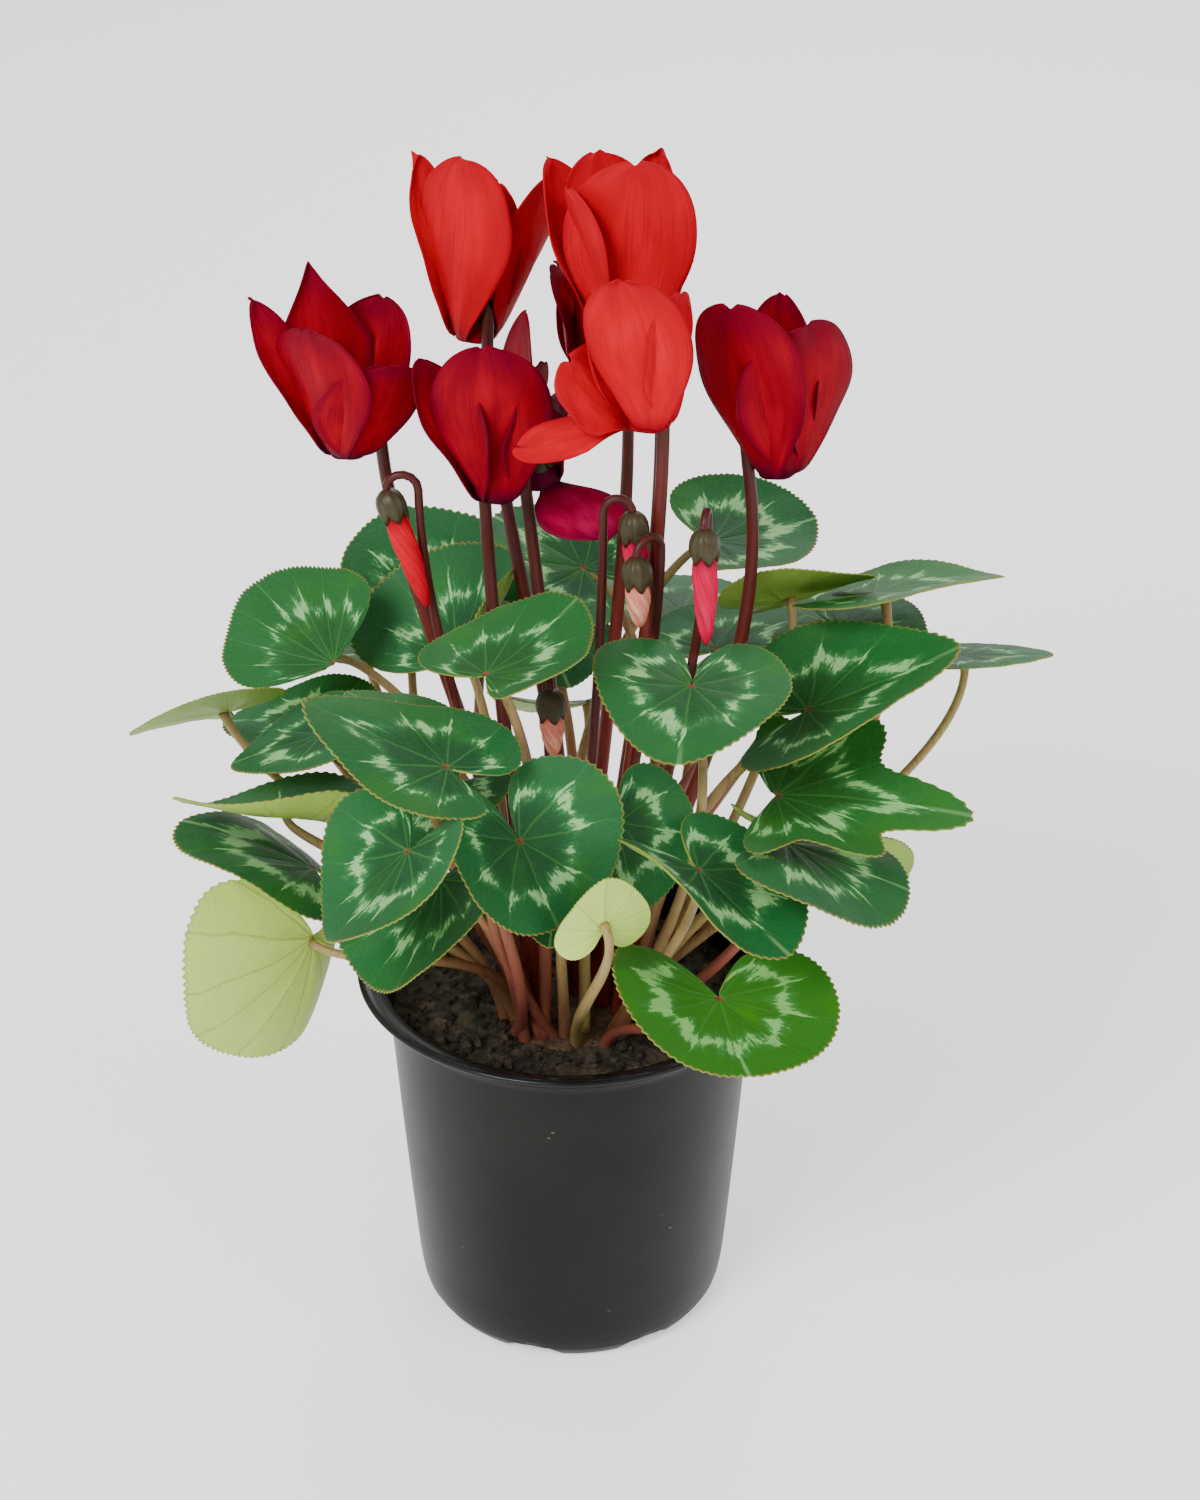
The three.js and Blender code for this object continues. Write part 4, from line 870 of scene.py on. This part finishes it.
# The pot's wall turned round z; where a notch is cut, every low point rises to the arch
# h = height x sqrt(1 - (distance along the foot / half width)^2).
def potPart():
    top, rim, neck, foot = pot["height"], pot["rim"], pot["neck"], pot["foot"]
    step = top - pot["step"]
    outside = [(0, 0), (24, 0), (25, 3), (37, 3), (38, 0), (foot - 1, 0), (foot + 0.5, 1.2), (48.2, 6),
               (50.2, 30), (52.2, 56), (54.2, 84), (neck - 0.6, step - 0.8), (neck - 0.2, step - 0.1),
               (neck + 0.8, step + 0.5), (neck + 1, top - 4.6), (neck + 3.2, top - 3.5),
               (rim - 2.5, top - 2.7), (rim - 0.3, top - 2), (rim + 0.1, top - 1), (rim - 0.7, top - 0.1),
               (pot["lipInner"] + 0.6, top - 0.4), (neck + 1.6, top - 2.2), (neck + 0.2, top - 3.6),
               (neck - 1.2, step + 0.4), (neck - 1.9, step - 1), (48.2 - pot["wall"], 8), (44, 5.4),
               (0, 5.4)]
    profile = respaced(softened(outside), pot["rings"], keepCorners=True)
    points, faces, marks = turnedPart(profile, pot["sides"], {})
    radius = np.hypot(points[:, 0], points[:, 1])
    turn = np.degrees(np.arctan2(points[:, 1], points[:, 0])) + 90 - pot["notchTurn"]
    every = 360 / pot["notches"]
    off = deg((turn + every / 2) % every - every / 2) * foot
    arch = pot["notchHeight"] * np.sqrt(np.clip(1 - (off / (pot["notchWidth"] / 2)) ** 2, 0, 1))
    low = (radius > pot["notchReach"]) & (points[:, 2] < arch)
    points[:, 2] = np.where(low, arch, points[:, 2])
    return points, faces, marks


soil = {"level": 103.0, "radius": 54.3, "bottom": 6.0, "crumbs": 620, "rings": 74, "sides": 220,
        "crumbRings": 5, "crumbSides": 7,
        "lumps": ((0.9, 0.1, 11), (0.8, 0.55, 12), (0.35, 1.6, 13))}


# Peat: a plug that fills the pot; its top is raised by the sum of three bump fields, each
# (height, pitch, seed), and by 1 mm at the wall.
def peatPart():
    level, bottom, rings = soil["level"], soil["bottom"], soil["rings"]
    turn = around(soil["sides"])
    wide = soil["radius"]
    reach = np.concatenate([np.linspace(0, wide, rings), [wide + 0.15, 46.5, 43.4, 0]])
    height = np.concatenate([np.full(rings, level), [level - 2.2, 8.0, bottom, bottom]])
    r, t = np.meshgrid(reach, turn, indexing="ij")
    x, y = r * np.cos(t), r * np.sin(t)
    z = np.broadcast_to(height[:, None], r.shape).copy()
    lumps = sum(rise * bumps(x, y, 0 * x, pitch, seed) for rise, pitch, seed in soil["lumps"])
    edge = smooth(r, wide - 5, wide)
    z = np.where(z > level - 1, z - 0.4 + lumps * 1.1 + edge, z)
    return ringsPart(np.stack([x, y, z], -1), {})


# Loose crumbs: small uneven balls, squashed and turned, half sunk in the top of the peat.
def crumbParts():
    rng = np.random.default_rng(20)
    count, rows, cols = soil["crumbs"], soil["crumbRings"], soil["crumbSides"]
    tilt = np.linspace(0, np.pi, rows)[:, None]
    turn = around(cols)
    ball = polar(np.sin(tilt), turn, np.cos(tilt)).reshape(1, -1, 3)
    ball = ball * (1 + rng.uniform(-0.28, 0.28, (count, rows * cols, 1)))
    ball[:, :cols] = ball[:, :1]
    ball[:, -cols:] = ball[:, -1:]
    size = rng.uniform(0.5, 1.0, (count, 1, 1)) ** 2 * rng.uniform(0.6, 3.0, (count, 1, 1))
    shape = ball * size * rng.uniform(0.55, 1.3, (count, 1, 3))
    away = np.sqrt(rng.uniform(0.05, 1, count)) * (soil["radius"] - 2.5)
    spin = rng.uniform(0, 2 * np.pi, count)
    spots = polar(away, spin, soil["level"] + rng.uniform(-0.2, 0.9, count))
    points = (shape + spots[:, None]).reshape(-1, 3)
    single = gridFaces(rows, cols, roundCols=True)
    faces = (single[None] + np.arange(count)[:, None, None] * rows * cols).reshape(-1, 4)
    return points, faces, {}


# The tuber: a flattened ball with a rough bark, its surface lifted a little by two bump fields.
def tuberPart():
    tilt, turn = np.meshgrid(np.linspace(0, np.pi, tuber["rings"]), around(tuber["sides"]), indexing="ij")
    x, y, z = np.sin(tilt) * np.cos(turn), np.sin(tilt) * np.sin(turn), np.cos(tilt)
    swell = 1 + 0.035 * bumps(x, y, z, 2.2, 31) + 0.02 * bumps(x, y, z, 7.0, 32)
    swell[0], swell[-1] = swell[0, 0], swell[-1, 0]
    points = np.stack([x, y, z], -1) * swell[..., None] * tuber["size"] + tuber["centre"]
    return ringsPart(points, {})


addPiece("potShell", [potPart()], potFinish(), "pot_plastic", ["pot"])
peat = earthFinish("peatEarth", (0.016, 0.013, 0.01), (0.095, 0.068, 0.042), 240.0, 0.92, 0.0022)
addPiece("peatTop", [peatPart()], peat, "peat", ["soil"])
addPiece("peatCrumbs", [crumbParts()], peat, "peat", ["soil"], smoothFaces=False)
bark = earthFinish("tuberBark", (0.05, 0.024, 0.014), (0.15, 0.08, 0.045), 160.0, 0.85, 0.0016)
addPiece("tuberTop", [tuberPart()], bark, "stalks", crownNode)
print("pot, peat and tuber")


floorLook = {"Base Color": (0.93, 0.93, 0.93, 1), "Roughness": 0.9, "Specular IOR Level": 0.1,
             "Emission Color": (1, 1, 1, 1), "Emission Strength": 0.6}


# a plain square floor, 18 m wide, that shines a little of its own
def studioFloor():
    mesh = bpy.data.meshes.new("studioFloor")
    r = 9.0
    mesh.from_pydata([(-r, -r, 0), (r, -r, 0), (r, r, 0), (-r, r, 0)], [], [(0, 1, 2, 3)])
    floor = bpy.data.objects.new("studioFloor", mesh)
    bpy.context.scene.collection.objects.link(floor)
    finish, shader = newFinish("floorPaper")
    for key, value in floorLook.items():
        shader.inputs[key].default_value = value
    mesh.materials.append(finish)


lights = {"key": ((-0.9, -1.3, 1.5), 0.9, 44), "fill": ((1.4, -0.9, 1.1), 1.2, 12),
          "back": ((0.3, 1.5, 1.3), 1.0, 14)}
skyLook = {"Color": (1.0, 1.0, 1.0, 1), "Strength": 0.72}


# a soft square lamp that faces the middle of the plant: place, side and watts
def addLamp(name, at, side, power):
    lamp = bpy.data.lights.new(name, "AREA")
    lamp.size = side
    lamp.energy = power
    stand = bpy.data.objects.new(name, lamp)
    stand.location = at
    aim = Vector((0, 0, 0.2)) - Vector(at)
    stand.rotation_euler = aim.to_track_quat("-Z", "Y").to_euler()
    bpy.context.scene.collection.objects.link(stand)


# one even colour all round
def studioSky():
    sky = bpy.data.worlds.new("studioSky")
    sky.use_nodes = True
    for key, value in skyLook.items():
        sky.node_tree.nodes["Background"].inputs[key].default_value = value
    bpy.context.scene.world = sky


camera = {"lens": 72, "sensor": 36, "tilt": 29.2, "aim": (9.1, 0.0, 191.0), "distance": 881.0}


# looks down by tilt at the aim point, from the given distance in front
def addCamera():
    view = bpy.data.cameras.new("photoView")
    view.lens, view.sensor_width = camera["lens"], camera["sensor"]
    view.clip_start, view.clip_end = 0.05, 50
    stand = bpy.data.objects.new("photoView", view)
    back = Vector((0, -np.cos(deg(camera["tilt"])), np.sin(deg(camera["tilt"]))))
    stand.location = (Vector(camera["aim"]) + back * camera["distance"]) * mm
    stand.rotation_euler = (-back).to_track_quat("-Z", "Y").to_euler()
    bpy.context.scene.collection.objects.link(stand)
    bpy.context.scene.camera = stand


studioFloor()
studioSky()
for name, (at, side, power) in lights.items():
    addLamp(name, at, side, power)
addCamera()
print("floor, light and camera")
